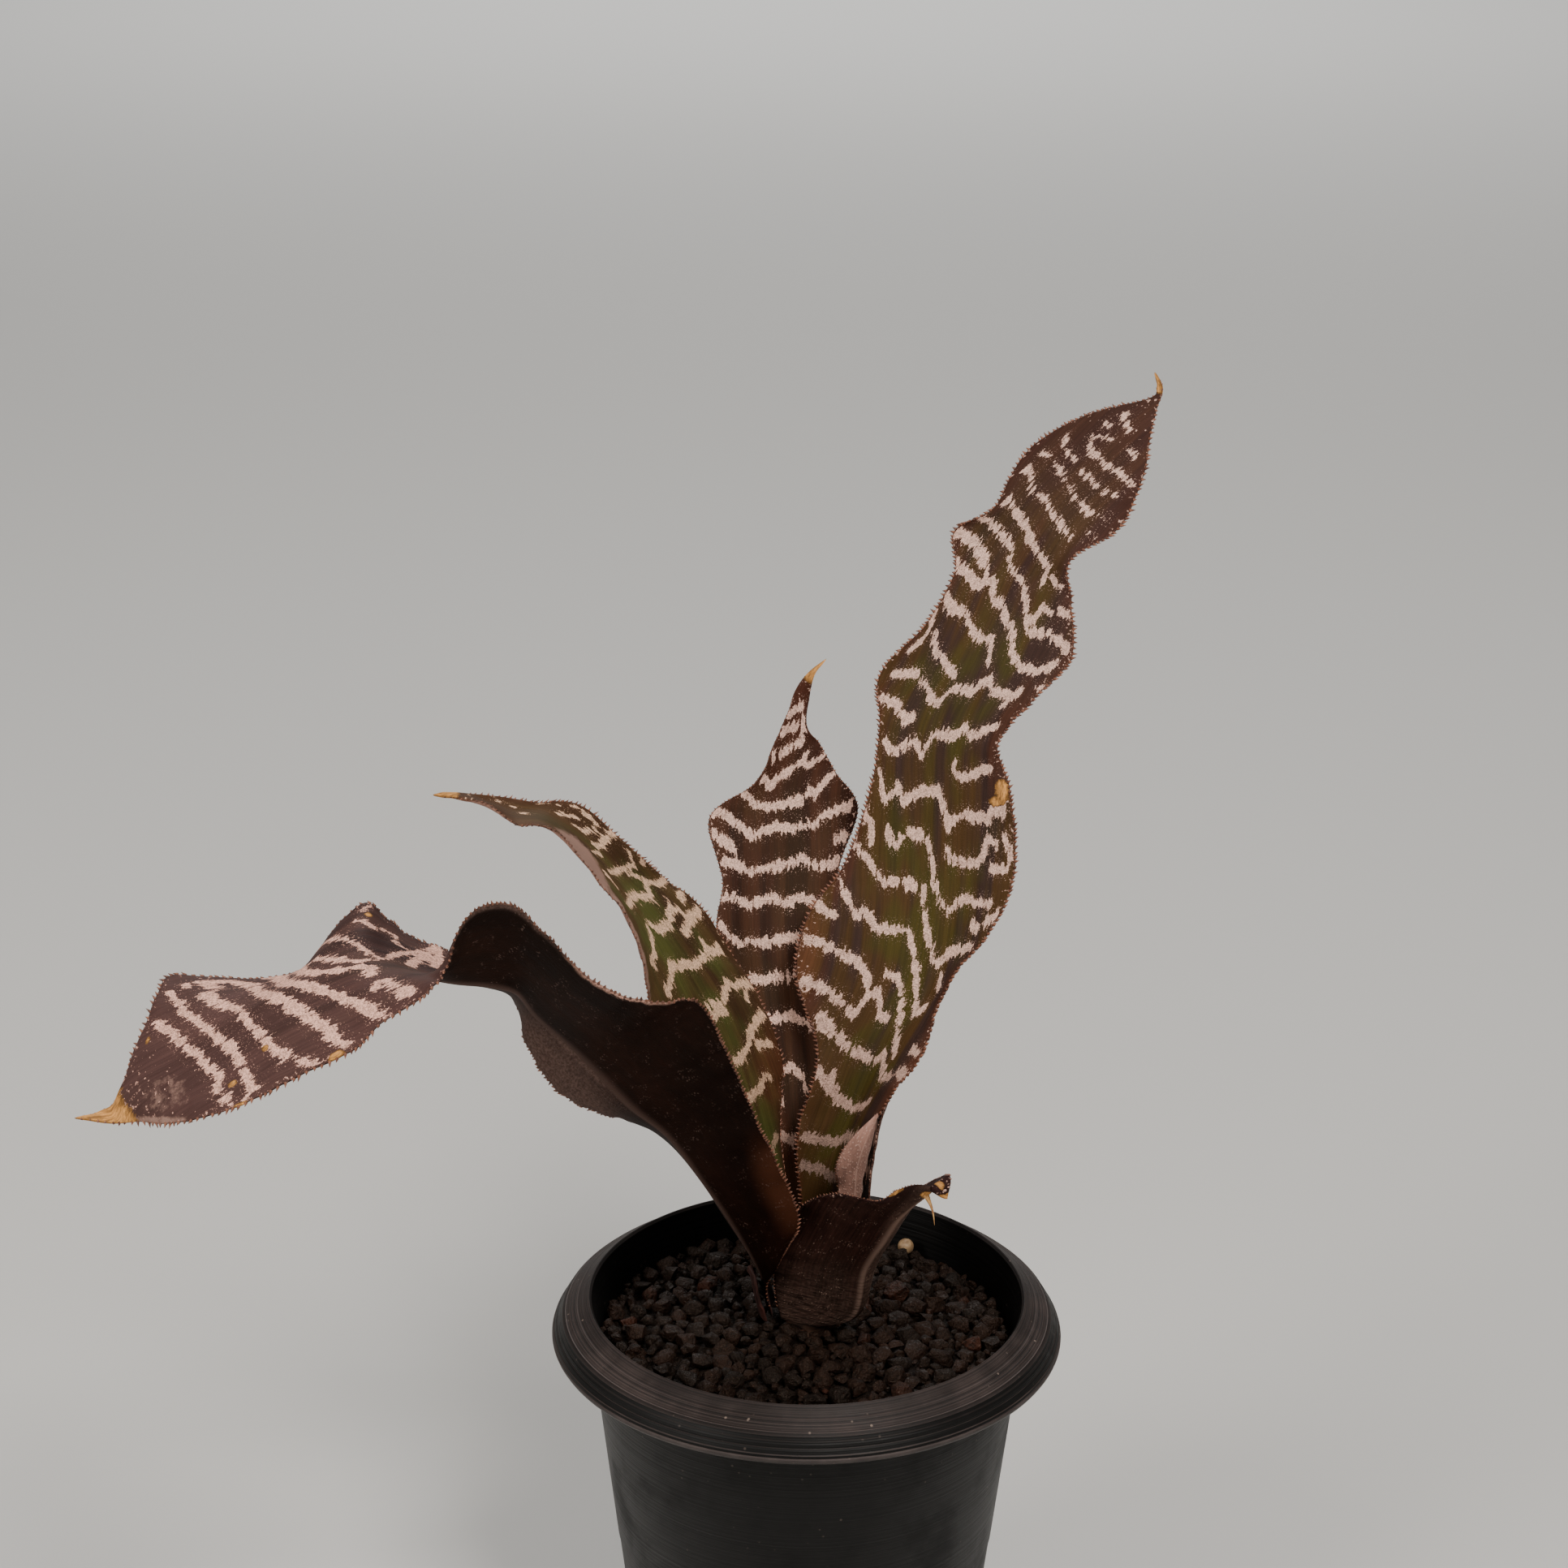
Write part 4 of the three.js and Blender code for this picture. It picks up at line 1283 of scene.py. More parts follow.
    def marked(self, mark: Mark, arc: np.ndarray, across: np.ndarray, half: np.ndarray) -> np.ndarray:
        """Strength of one mark on the blade. The tip is always dry.

        Args:
            mark: The mark.
            arc: Length from the base in millimetres.
            across: Share across the blade, from -1 to 1.
            half: Width of that half of the blade in millimetres.

        Returns:
            One share for each point.
        """
        found = np.zeros_like(arc)
        if mark is Mark.DRY and self.dry_tip > 0.0:
            found = smooth_step(arc, self.arcs[-1] - self.dry_tip, self.arcs[-1] - 0.7 * self.dry_tip)
        for patch in self.patches:
            if patch.mark is mark:
                middle = np.interp(patch.per_cent / 100.0, self.shares, self.arcs)
                away = np.hypot((arc - middle) / patch.length, (across - patch.across) * half / patch.width)
                found = np.maximum(found, patch.strength * (1.0 - smooth_step(away, 0.3, 1.0)))
        return found

    def teeth(self) -> Piece:
        """Builds the row of forward-leaning teeth on both margins.

        Returns:
            The piece.
        """
        bm = bmesh.new()
        chance = np.random.default_rng(int(100 * self.seed))
        dense = np.linspace(0.0, 1.0, MARGIN_STEPS)
        for side, start in ((-1.0, self.left_teeth_from), (1.0, self.right_teeth_from)):
            margin = self.surface(dense, np.full_like(dense, side))
            arc = np.concatenate([[0.0], np.cumsum(np.linalg.norm(np.diff(margin, axis=0), axis=1))])
            stops = []
            place = max(FIRST_TOOTH, start * arc[-1])
            while place < arc[-1] - LAST_TOOTH:
                stops.append(place)
                place += self.tooth_spacing * chance.uniform(0.7, 1.3)
            self.plant_teeth(bm, np.interp(stops, arc, dense), side, chance)
        return to_piece(bm, f"teeth_{self.node}", TOOTH.make())

    def plant_teeth(self, bm: Mesh, along: np.ndarray, side: float, chance: np.random.Generator) -> None:
        """Adds one cone at each place of one margin.

        Args:
            bm: Mesh that the teeth are added to.
            along: Shares of the blade where they stand.
            side: -1 for the left margin, 1 for the right one.
            chance: Source of their small differences.
        """
        across = np.full_like(along, side)
        normal = self.normals(along, across)
        root = self.waved(along, across)
        strip = self.surface(along, across) - self.surface(along, 0.7 * across)
        share = np.minimum(1.0, 0.35 + np.linalg.norm(strip, axis=1) / FULL_TOOTH_WIDTH)
        outward = unit(strip)
        ahead = unit(self.surface(np.minimum(along + STEP_ALONG, 1.0), across) - self.surface(along, across))
        for number in range(len(along)):
            size = self.tooth_length * chance.uniform(0.7, 1.25) * share[number]
            forward = chance.uniform(0.25, 0.75) * ahead[number]
            lean = outward[number] + forward + chance.uniform(-0.25, 0.25) * normal[number]
            direction = Vector(lean).normalized()
            start = Vector(root[number]) - direction * TOOTH_SINK
            bmesh.ops.create_cone(
                bm,
                cap_ends=True,
                segments=5,
                radius1=self.tooth_radius * MM,
                radius2=TOOTH_END * MM,
                depth=size * MM,
                matrix=pointed(start + direction * (0.5 * size), direction),
            )

    def build(self) -> None:
        """Builds the blade and its teeth."""
        blade = self.blade()
        log.info("%s: %d faces", blade.name, len(blade.data.polygons))
        if self.tooth_length > 0.0:
            teeth = self.teeth()
            log.info("%s: %d faces", teeth.name, len(teeth.data.polygons))


def pointed(place: Vector, direction: Vector) -> Matrix:
    """Matrix that moves a mesh made along +Z to a place in millimetres and turns it to a direction."""
    return Matrix.Translation(place * MM) @ direction.to_track_quat("Z", "Y").to_matrix().to_4x4()


TOOTH = PlainFinish(
    "tooth_tip",
    light=srgb(156, 104, 80),
    dark=srgb(80, 44, 31),
    scale=900.0,
    roughness=0.5,
    relief=0.05 * MM,
)

TALL = BladeFinish(
    "tall_leaf",
    centre=srgb(69, 49, 27),
    streak=srgb(57, 41, 37),
    margin=srgb(84, 47, 30),
    tip=srgb(64, 40, 35),
    green=srgb(64, 60, 22),
    greenness=0.75,
    lower=srgb(166, 126, 112),
    lower_scale=srgb(206, 170, 156),
    lower_density=0.75,
    lower_fibre=0.07,
)
BACK = BladeFinish(
    "back_leaf",
    centre=srgb(62, 37, 25),
    streak=srgb(46, 27, 19),
    margin=srgb(56, 28, 20),
    tip=srgb(66, 36, 27),
    green=srgb(56, 44, 24),
    greenness=0.3,
    lower=srgb(92, 62, 52),
    lower_scale=srgb(168, 134, 122),
    lower_density=0.6,
)
LEFT = BladeFinish(
    "left_leaf",
    centre=srgb(74, 57, 34),
    streak=srgb(64, 46, 30),
    margin=srgb(80, 52, 34),
    tip=srgb(78, 52, 38),
    green=srgb(73, 76, 37),
    greenness=0.9,
    band=srgb(234, 194, 162),
    lower=srgb(140, 104, 90),
    lower_scale=srgb(190, 152, 136),
    lower_density=0.7,
)
HANGING = BladeFinish(
    "hanging_leaf",
    centre=srgb(70, 48, 45),
    streak=srgb(48, 32, 31),
    margin=srgb(74, 48, 43),
    tip=srgb(80, 57, 54),
    green=srgb(64, 50, 36),
    band=srgb(236, 184, 164),
    greenness=0.3,
    # keeps the default near-black lower face: painted shade on this leaf's underside
    lower_scale=srgb(122, 98, 90),
    lower_density=0.36,
    lower_rib=0.36,
)
SMALL = BladeFinish(
    "small_leaf",
    centre=srgb(50, 27, 25),
    streak=srgb(34, 18, 18),
    margin=srgb(42, 22, 21),
    tip=srgb(40, 20, 20),
    green=srgb(44, 32, 24),
    greenness=0.2,
    lower=srgb(36, 20, 16),
    lower_scale=srgb(178, 146, 130),
    lower_density=0.34,
    lower_fibre=0.35,
    wrinkle=1.0,
)
HIDDEN = BladeFinish(
    "hidden_leaf",
    centre=srgb(52, 32, 25),
    streak=srgb(38, 24, 19),
    margin=srgb(56, 30, 23),
    tip=srgb(58, 36, 28),
    green=srgb(54, 50, 26),
    greenness=0.4,
    lower=srgb(92, 62, 52),
    lower_scale=srgb(168, 134, 122),
    lower_density=0.6,
)
SHEATH = PlainFinish(
    "dried_sheath_tissue",
    light=srgb(74, 34, 25),
    dark=srgb(32, 15, 11),
    scale=420.0,
    stretch=(1.0, 1.0, 0.16),
    roughness=0.7,
    relief=0.4 * MM,
)

# Each station is a point on the midrib, one on the left margin and one on the right margin, in millimetres,
# left and right as seen looking from the base to the tip with the upper face up.
LEAF_RIGHT_TALL_RAILS = (
    ((3, 5, 87), (-1, 5, 87), (5.5, 1.5, 87)),
    ((3.5, 6, 98), (-1, 5, 98.5), (7.7, -1.5, 98.8)),
    ((5, 7.5, 107.5), (-2, 5, 108), (9.9, -2.5, 110.8)),
    ((8, 9, 115), (-1.5, 7, 114.5), (12, -1.5, 120.3)),
    ((12.5, 12, 125.5), (1.5, 13, 125.5), (19.5, 3, 130)),
    ((17, 17, 135.5), (-2.5, 21, 136.5), (23.5, 11, 138.5)),
    ((19.5, 22, 146), (-0.5, 27, 145.5), (32.5, 12.5, 151)),
    ((20.5, 27, 156.5), (6, 31, 154), (35.5, 17, 160.5)),
    ((21, 31, 167), (10.5, 34.5, 167), (34.5, 22, 171.5)),
    ((21.5, 35, 177), (12, 39, 177.5), (32.5, 26.5, 178.5)),
    ((25.5, 38, 187), (12, 45, 185), (39, 28.5, 186.5)),
    ((30, 41, 196), (20, 44.5, 194.5), (45, 30.5, 193)),
    ((33.5, 43.5, 204.5), (25, 47, 203.5), (45, 35, 202)),
    ((37, 45, 211), (25, 52.5, 209.5), (44.5, 36.5, 208.5)),
    ((41, 46, 216.5), (31.5, 49.5, 214.5), (53, 38, 214.5)),
    ((47.5, 47, 223.5), (37.5, 54, 223.5), (57, 41, 222.5)),
    ((54, 47.5, 230.5), (46.5, 52, 230.5), (58.5, 44.5, 229.5)),
    ((59, 48, 234.5), (58, 48.7, 234.7), (59.7, 47, 234)),
    ((60, 48, 237), (59.6, 48.3, 237), (60.4, 47.7, 237)),
    ((59, 48.5, 239.5), (59, 48.5, 239.5), (59, 48.5, 239.5)),
)
TALL_FOLD_RAILS = (
    ((5.9, -2.4, 93.4), (6.7, -0.6, 93), (4.8, -3, 94)),
    ((7.8, -4.2, 105.2), (9, -2, 104.6), (5.3, -5, 106.4)),
    ((8.2, -5, 111.7), (10, -2.4, 110.8), (4.8, -6, 112.9)),
    ((9.6, -4.6, 116.8), (11, -2.1, 116.1), (7.4, -5.4, 117.6)),
    ((11.9, -1.8, 120.8), (11.9, -1.8, 120.8), (11.9, -1.8, 120.8)),
)
LEAF_BACK_RAILS = (
    ((-0.5, 6.5, 83), (-3.3, 5.6, 83), (2.1, 6.7, 83)),
    ((-0.5, 9.5, 97), (-6, 8, 97), (3, 9, 97)),
    ((-2.5, 14, 110), (-8, 10, 111.5), (3, 12, 112)),
    ((-3.5, 20, 120), (-13, 14, 122.5), (4, 18, 121)),
    ((-4.5, 27, 129.5), (-16.5, 22, 132.5), (7, 25.5, 130.5)),
    ((-5.5, 34, 139), (-17, 30, 141), (7.5, 33.5, 140)),
    ((-5.5, 41, 148), (-16, 37.5, 148), (5, 41, 148)),
    ((-5.5, 46, 156.5), (-18.5, 44, 157.5), (8.5, 48, 158)),
    ((-5, 49.5, 163), (-10.5, 47.5, 163), (4.5, 50.5, 164)),
    ((-3.5, 52, 169.5), (-6.5, 51, 170.5), (1.5, 52, 169)),
    ((-2.5, 53, 174), (-4.5, 52, 175), (-1, 52.5, 172.5)),
    ((-2, 54, 178), (-3, 54, 179), (-0.5, 54, 177.5)),
    ((0, 54.5, 182), (-0.4, 54.5, 182.4), (0.4, 54.5, 181.6)),
    ((2.5, 55, 184.5), (2.5, 55, 184.5), (2.5, 55, 184.5)),
)
LEAF_LEFT_RAILS = (
    ((-3.5, 1.5, 86), (-3, -1.5, 86), (-2, 4, 86)),
    ((-4.5, 1.5, 99), (-4.5, -4.5, 101), (-3.5, 6, 99.5)),
    ((-8, 2, 113), (-8.5, -6, 112), (-5, 9, 113)),
    ((-12.5, 2, 127), (-16, -7.5, 120.5), (-4.5, 11, 124)),
    ((-17, 1.5, 139), (-22, -10, 130.5), (-7.5, 11.5, 133.5)),
    ((-22, 1, 148.5), (-26, -14, 144.5), (-13, 13, 143)),
    ((-27, 0.5, 156), (-27.5, -15.5, 154), (-19, 13.5, 152.5)),
    ((-32, 0, 162.5), (-30, -14.5, 161.5), (-25, 11.5, 158.5)),
    ((-37.5, -1, 169.5), (-35.5, -13, 168.5), (-30.5, 6.5, 166)),
    ((-44, -2, 174.5), (-42, -11, 175.5), (-39, 4.5, 174.5)),
    ((-49.5, -3, 176), (-48.5, -9.5, 176.5), (-46, 0.5, 176.5)),
    ((-54.5, -4, 178), (-53, -7.5, 179), (-53, -2, 178.5)),
    ((-58.5, -5, 179.5), (-58.5, -6, 179.5), (-58.5, -4, 179.5)),
    ((-62.5, -6, 180), (-62.5, -6, 180), (-62.5, -6, 180)),
)
LEAF_FRONT_LEFT_RAILS = (
    ((-6.5, 0, 81.3), (-6, -3, 81.3), (-5.5, 3.5, 81.3)),
    ((-7.5, -3, 87.5), (-7, -5.5, 88.5), (-7.5, 3.5, 87.5)),
    ((-8, -7.5, 93), (-4.5, -9.5, 96.5), (-9.5, 2.5, 94)),
    ((-12.5, -12, 104), (-1.5, -14, 106.5), (-16, 0, 104)),
    ((-17.5, -17, 115), (-5, -20, 119.5), (-20.5, -5, 116.5)),
    ((-23.2, -21.2, 125.6), (-9.5, -27, 134), (-27, -11, 123)),
    ((-29, -27, 133.7), (-13, -33, 146), (-32.5, -18, 127.5)),
    ((-34, -33.4, 142.5), (-17.5, -41, 158.5), (-39, -26, 134)),
    ((-38.7, -39.4, 151), (-26, -48, 162), (-43, -33, 142.5)),
    ((-42.7, -43.8, 157.4), (-34, -53, 168), (-45.5, -37.5, 151.5)),
    ((-45.3, -48.3, 163.4), (-40, -57, 177), (-46, -40, 158.5)),
    ((-49, -54, 167), (-45, -61, 183.5), (-50, -43, 164)),
    ((-53.5, -57.5, 169), (-50.5, -67, 184), (-55, -44.5, 168)),
    ((-58, -61, 171.5), (-53, -73, 178), (-60.5, -47, 171.5)),
    ((-62.5, -64.5, 174.5), (-55.5, -77, 176), (-64.5, -50, 176)),
    ((-67, -67.5, 176), (-62, -80, 172), (-68, -52, 179.5)),
    ((-72, -70, 175), (-66, -83, 169), (-73, -54.5, 175.5)),
    ((-77, -72.5, 173.5), (-72, -85.5, 167), (-76, -58, 171.5)),
    ((-82, -74.5, 171), (-77, -88, 165), (-84, -60, 170)),
    ((-87, -76.5, 168), (-82.5, -90, 163), (-95, -62, 172)),
    ((-92, -78, 165), (-88.5, -90, 161.5), (-97, -68, 170.5)),
    ((-96.5, -79.5, 163), (-93, -87.5, 159.5), (-99, -74, 165.5)),
    ((-100, -80.5, 160.5), (-97, -84, 158), (-100, -79, 161.5)),
    ((-101.8, -81, 157.5), (-101.3, -82.5, 157), (-102.2, -79.5, 158)),
    ((-107, -82, 157.5), (-107, -82, 157.5), (-107, -82, 157.5)),
)
LEAF_FRONT_SMALL_RAILS = (
    ((1.5, -5.5, 81.3), (6.5, -2.5, 81.3), (-4.5, -3.5, 81.3)),
    ((8.2, -8.8, 85.2), (8.8, -4.8, 86), (-5.6, -4.4, 86.8)),
    ((10, -12.5, 96), (11.5, -6, 95), (-5.5, -6.5, 95.5)),
    ((13, -17, 104), (14, -8, 102.5), (-1.5, -9, 106)),
    ((15, -21, 110), (17, -12, 109), (4.5, -13, 111)),
    ((17, -24.5, 114.5), (18.5, -17.5, 114), (11.5, -19.5, 113)),
    ((19, -27.5, 118), (22, -23, 119.5), (15, -24, 117.5)),
    ((20.5, -29.5, 120.5), (23.5, -28, 122), (19, -28, 120.5)),
    ((23, -30, 119), (23, -30, 119), (23, -30, 119)),
)
LEAF_BACK_RIGHT_RAILS = (
    ((5.4, 4.4, 83), (4.2, 6.2, 83), (6.6, 1.2, 83)),
    ((9, 7, 97), (6, 9, 98.5), (10.5, 2, 99)),
    ((10.5, 11.5, 107), (6, 14, 108.5), (11.5, 7.5, 109)),
    ((12.5, 17, 117), (7.5, 20.5, 118), (15, 13, 119)),
    ((16, 22, 128), (10, 26.5, 128.5), (19.5, 18.5, 130)),
    ((19, 27, 137), (12.5, 31.5, 137), (23.5, 23, 139)),
    ((21, 32, 145), (15.5, 35.5, 144.5), (24.5, 28.5, 146.5)),
    ((22.5, 36, 151.5), (19, 38.5, 151), (25, 34, 152.5)),
    ((24, 40, 157), (22.8, 40.5, 157), (25, 39.3, 157)),
    ((25, 42.5, 161), (25, 42.5, 161), (25, 42.5, 161)),
)
DRIED_SHEATH_RAILS = (
    ((-7.9, -2, 81.3), (-6.9, -4.8, 81.3), (-7.9, 1, 81.3)),
    ((-8.8, -3.2, 86), (-8.2, -6.4, 86.5), (-9, 0.6, 85.5)),
    ((-9.5, -4.4, 90.5), (-9.2, -6.8, 91.2), (-9.9, -1.4, 89.5)),
    ((-10, -5.2, 92.8), (-10, -5.2, 92.8), (-10, -5.2, 92.8)),
)

# Band lines. A point is a share across the blade and a per cent of its length.
TALL_BANDS = bands(
    0.17,
    ((-0.4, 84), (-0.2, 83.5)),
    ((-0.2, 82), (0.1, 82)),
    ((-0.25, 85.5), (0.3, 83.5)),
    ((0.5, 81.5), (0.75, 81)),
    ((-0.35, 82), (-0.2, 81), (0.2, 79.5), (0.5, 79), (0.9, 78)),
    ((-0.7, 81.5), (-0.5, 80), (-0.15, 79)),
    ((0.05, 78), (0.4, 77), (0.6, 76.5), (0.8, 76.5)),
    ((-0.75, 79), (-0.6, 79), (-0.2, 77.5), (0.2, 75.5), (0.55, 74), (0.85, 74)),
    ((-0.8, 77.5), (-0.6, 76.5), (-0.5, 75.5), (-0.05, 74), (0.35, 71.5), (0.7, 70.5), (0.75, 69.5)),
    ((0.8, 71.5), (0.85, 72)),
) + bands(
    0.34,
    ((-0.8, 74.5), (-0.5, 73), (-0.1, 70), (0.3, 67.5), (0.65, 66), (0.6, 63.5)),
    ((0.75, 65), (0.8, 64), (0.9, 64.5)),
    ((-0.9, 71.5), (-0.65, 70.5), (-0.4, 68.5), (0, 66), (0, 65)),
    ((0.05, 64), (0.3, 63), (0.45, 61), (0.5, 59), (0.65, 61), (0.75, 61)),
    ((0.85, 61.5), (0.95, 61.5)),
) + bands(
    0.42,
    ((-0.95, 68), (-0.7, 66.5), (-0.45, 64.5), (-0.25, 62.5)),
    ((-1, 64), (-0.6, 62.5), (-0.4, 61.5), (-0.1, 62), (0, 60.5)),
    ((0.05, 60), (0.15, 60), (0.4, 57.5), (0.45, 56), (0.6, 55), (0.8, 55), (0.9, 56.5)),
    ((0.55, 58.5), (0.75, 59), (0.95, 58.5)),
    ((-0.9, 60.5), (-0.7, 59.5), (-0.3, 58.5), (0, 56.5), (0.2, 56.5), (0.3, 54.5)),
    ((-0.95, 59), (-0.75, 56.5), (-0.8, 55)),
    ((-0.6, 56.5), (-0.45, 55), (0, 52.5)),
    ((-0.8, 52.5), (-0.5, 52.5), (-0.1, 50), (0, 51), (0.05, 51.5), (0.3, 51.5), (0.4, 53), (0.5, 52),
     (0.7, 52)),
    ((0.75, 51), (0.8, 52.5)),
    ((0.95, 53.5), (1, 53.5)),
    ((-0.95, 50), (-0.7, 49.5), (-0.5, 48), (-0.4, 48.5)),
    ((-0.9, 46), (-0.65, 45.5), (-0.3, 46.5), (-0.15, 45.5), (0.05, 47.5), (0.35, 47.5), (0.45, 48.5),
     (0.6, 47.5), (0.85, 49)),
    ((-0.9, 43.5), (-0.7, 41.5), (-0.5, 42.5), (-0.4, 41.5), (-0.15, 42.5), (0.15, 42.5),
     (0.25, 39.5), (0.45, 40.5), (0.75, 40)),
    ((0.75, 40.5), (0.9, 40.5)),
    ((0.4, 45), (0.35, 44.5), (0.45, 43.5), (0.65, 44), (0.85, 44.5)),
    ((-1, 40.5), (-0.85, 40), (-0.75, 38.5)),
    ((-0.55, 39), (-0.4, 38), (-0.25, 39), (0, 38.5), (0.1, 36), (0.1, 35), (0.2, 33.5)),
    ((0.25, 37.5), (0.3, 36.5), (0.6, 36.5)),
    ((0.65, 37), (0.7, 38.5), (0.8, 38)),
    ((0.9, 38.5), (0.95, 37)),
    ((0.75, 36), (0.9, 36)),
    ((-1, 38.5), (-0.7, 37), (-0.45, 35), (-0.3, 35)),
    ((-0.2, 35), (-0.1, 34.5)),
    ((0, 34.5), (0, 33.5), (0.1, 31), (0.25, 29), (0.4, 28.5), (0.5, 29.5), (0.85, 29.5)),
    ((0.2, 33.5), (0.3, 32.5), (0.45, 33.5), (0.8, 33)),
    ((0.65, 31.5), (0.75, 31)),
    ((0.85, 31.5), (0.95, 32)),
    ((-0.95, 35.5), (-0.8, 34), (-0.6, 32), (-0.55, 32.5), (-0.4, 31), (-0.1, 31), (0, 29), (0.2, 26),
     (0.35, 24.5), (0.55, 25)),
    ((-1, 33), (-0.85, 32), (-0.8, 32)),
    ((-0.95, 29.5), (-0.75, 29), (-0.5, 28), (-0.4, 26.5)),
    ((-0.95, 26), (-0.75, 25.5), (-0.5, 24), (-0.4, 25.5), (-0.3, 26), (-0.2, 24), (-0.1, 24)),
    ((-0.25, 27.5), (-0.1, 27), (0.05, 24.5), (0.15, 23), (0.35, 21)),
    ((0.7, 21.5), (0.9, 21)),
    ((0.55, 27.5), (0.7, 26.5)),
    ((-0.9, 23.5), (-0.7, 22), (-0.4, 21), (0, 20.5), (0.1, 21), (0.35, 19), (0.6, 19), (0.7, 19.5), (1, 19)),
    ((-0.95, 19.5), (-0.6, 18), (-0.1, 16.5), (0.2, 16.5), (0.35, 17)),
    ((-0.7, 19.5), (-0.7, 18.5)),
    ((-0.9, 14), (-0.3, 12.5), (0.1, 13), (0.9, 13.5)),
    ((-0.9, 10), (0, 8.5), (0.9, 9.5)),
)
BACK_BANDS = bands(
    0.4,
    ((-1, 77), (-0.7, 78), (0.35, 81.5)),
    ((-0.8, 70.5), (-0.65, 72), (-0.4, 72.5), (0, 74.5)),
    ((0.5, 77), (0.6, 74)),
    ((-0.7, 65.5), (-0.8, 66.5)),
    ((-0.4, 66.5), (0, 68.5), (0.3, 69), (0.4, 71)),
    ((-0.8, 62.5), (-0.35, 60.5), (-0.2, 62), (0.4, 64.5), (0.5, 66.5)),
    ((0.55, 64), (1, 66.5)),
    ((-0.95, 59), (-0.8, 59), (-0.3, 56), (0.3, 57), (0.45, 59), (0.5, 58), (0.95, 61.5)),
    ((-1, 54.5), (-0.8, 54.5), (-0.4, 51.5), (-0.1, 52.5), (0.45, 52.5), (0.5, 53.5), (0.9, 54.5)),
    ((-0.95, 52), (-0.7, 49.5)),
    ((0.8, 50), (0.95, 50.5)),
    ((-0.9, 48.5), (-0.5, 46.5), (0.25, 47.5), (0.35, 48), (0.55, 47), (0.95, 47.5)),
    ((-1, 43.5), (-0.9, 43.5), (-0.45, 42), (-0.15, 43), (0.15, 42), (0.3, 43), (0.6, 42), (1, 43)),
    ((-0.95, 39.5), (-0.8, 38), (-0.6, 37), (0.25, 38), (0.5, 37), (0.95, 38)),
    ((-0.8, 33.5), (-0.5, 32.5), (0.2, 33.5), (0.9, 33)),
    ((-0.7, 28.5), (-0.25, 28), (0.1, 28.5), (0.4, 27.5), (0.9, 28.5)),
    ((-0.8, 22), (-0.3, 21.5), (0.05, 22.5), (0.35, 21), (0.4, 19.5)),
    ((-0.4, 20), (-0.3, 18.5)),
    ((-0.8, 15), (0, 14), (0.8, 15)),
)
LEFT_BANDS = bands(
    0.32,
    ((0.45, 68), (0.55, 67)),
    ((0.25, 65), (0.25, 64), (0.5, 64)),
    ((0.6, 64.5), (0.8, 65.5)),
    ((0.1, 61), (0.3, 60.5), (0.6, 62.5), (1, 64.5)),
    ((-0.15, 60), (0, 59)),
    ((-0.2, 56.5), (0, 55.5), (0.25, 55.5), (0.6, 56.5), (0.75, 59), (0.85, 60.5)),
    ((0.25, 54.5), (0.45, 53.5)),
    ((-0.4, 57.5), (-0.4, 55)),
    ((1, 59.5), (0.85, 57.5)),
) + bands(
    0.44,
    ((-0.45, 51.5), (0, 50.5), (0.15, 49.5), (0.3, 49.5), (0.5, 52.5), (0.7, 51.5), (0.9, 53), (1, 54.5)),
    ((0.25, 48.5), (0.25, 48)),
    ((0.9, 49.5), (0.75, 47.5)),
    ((1, 51.5), (1, 51)),
    ((0.5, 47), (0.45, 46), (0.55, 45.5)),
    ((0.4, 45.5), (0.2, 44), (0, 43.5), (-0.15, 44.5), (-0.2, 46)),
    ((-0.3, 45.5), (-0.5, 42.5), (-0.65, 43), (-0.6, 41.5)),
    ((0.6, 44), (0.8, 44.5), (0.9, 45.5)),
    ((0.6, 44), (0.5, 42.5), (0.3, 41.5)),
    ((0.8, 39), (0.45, 38), (0.1, 36.5), (-0.2, 38), (-0.3, 39), (-0.45, 37.5), (-0.6, 37.5)),
    ((0.55, 40), (0.5, 38.5)),
    ((-0.1, 31.5), (0.1, 30.5), (0.25, 31), (0.5, 33.5), (0.6, 33), (0.95, 34.5)),
    ((-0.1, 30), (0.2, 29.5)),
    ((0.8, 33.5), (0.7, 31.5)),
    ((0.9, 30), (0.55, 27), (0.35, 25), (0.2, 24), (0, 24)),
    ((0.55, 25), (0.85, 25.5)),
    ((0.7, 21), (0.6, 21.5), (0.35, 20), (0.15, 20), (-0.05, 20)),
    ((-0.9, 34), (-0.6, 33), (-0.4, 33.5)),
    ((-0.9, 27), (-0.5, 26)),
    ((-0.8, 20), (-0.4, 19)),
    ((-0.8, 14), (0, 13.5), (0.8, 14.5)),
) + bands(
    0.26,
    ((0.45, 81.5), (0.5, 81.5)),
    ((0.25, 78), (0.25, 78)),
    ((0.85, 75), (0.85, 74.5)),
    ((0.7, 71), (0.7, 70.5)),
    ((0.85, 69.5), (0.9, 69.5)),
    ((-0.2, 74.5), (-0.15, 74)),
    ((0.3, 68.5), (0.35, 68.5)),
    ((0.8, 67), (0.85, 67)),
)
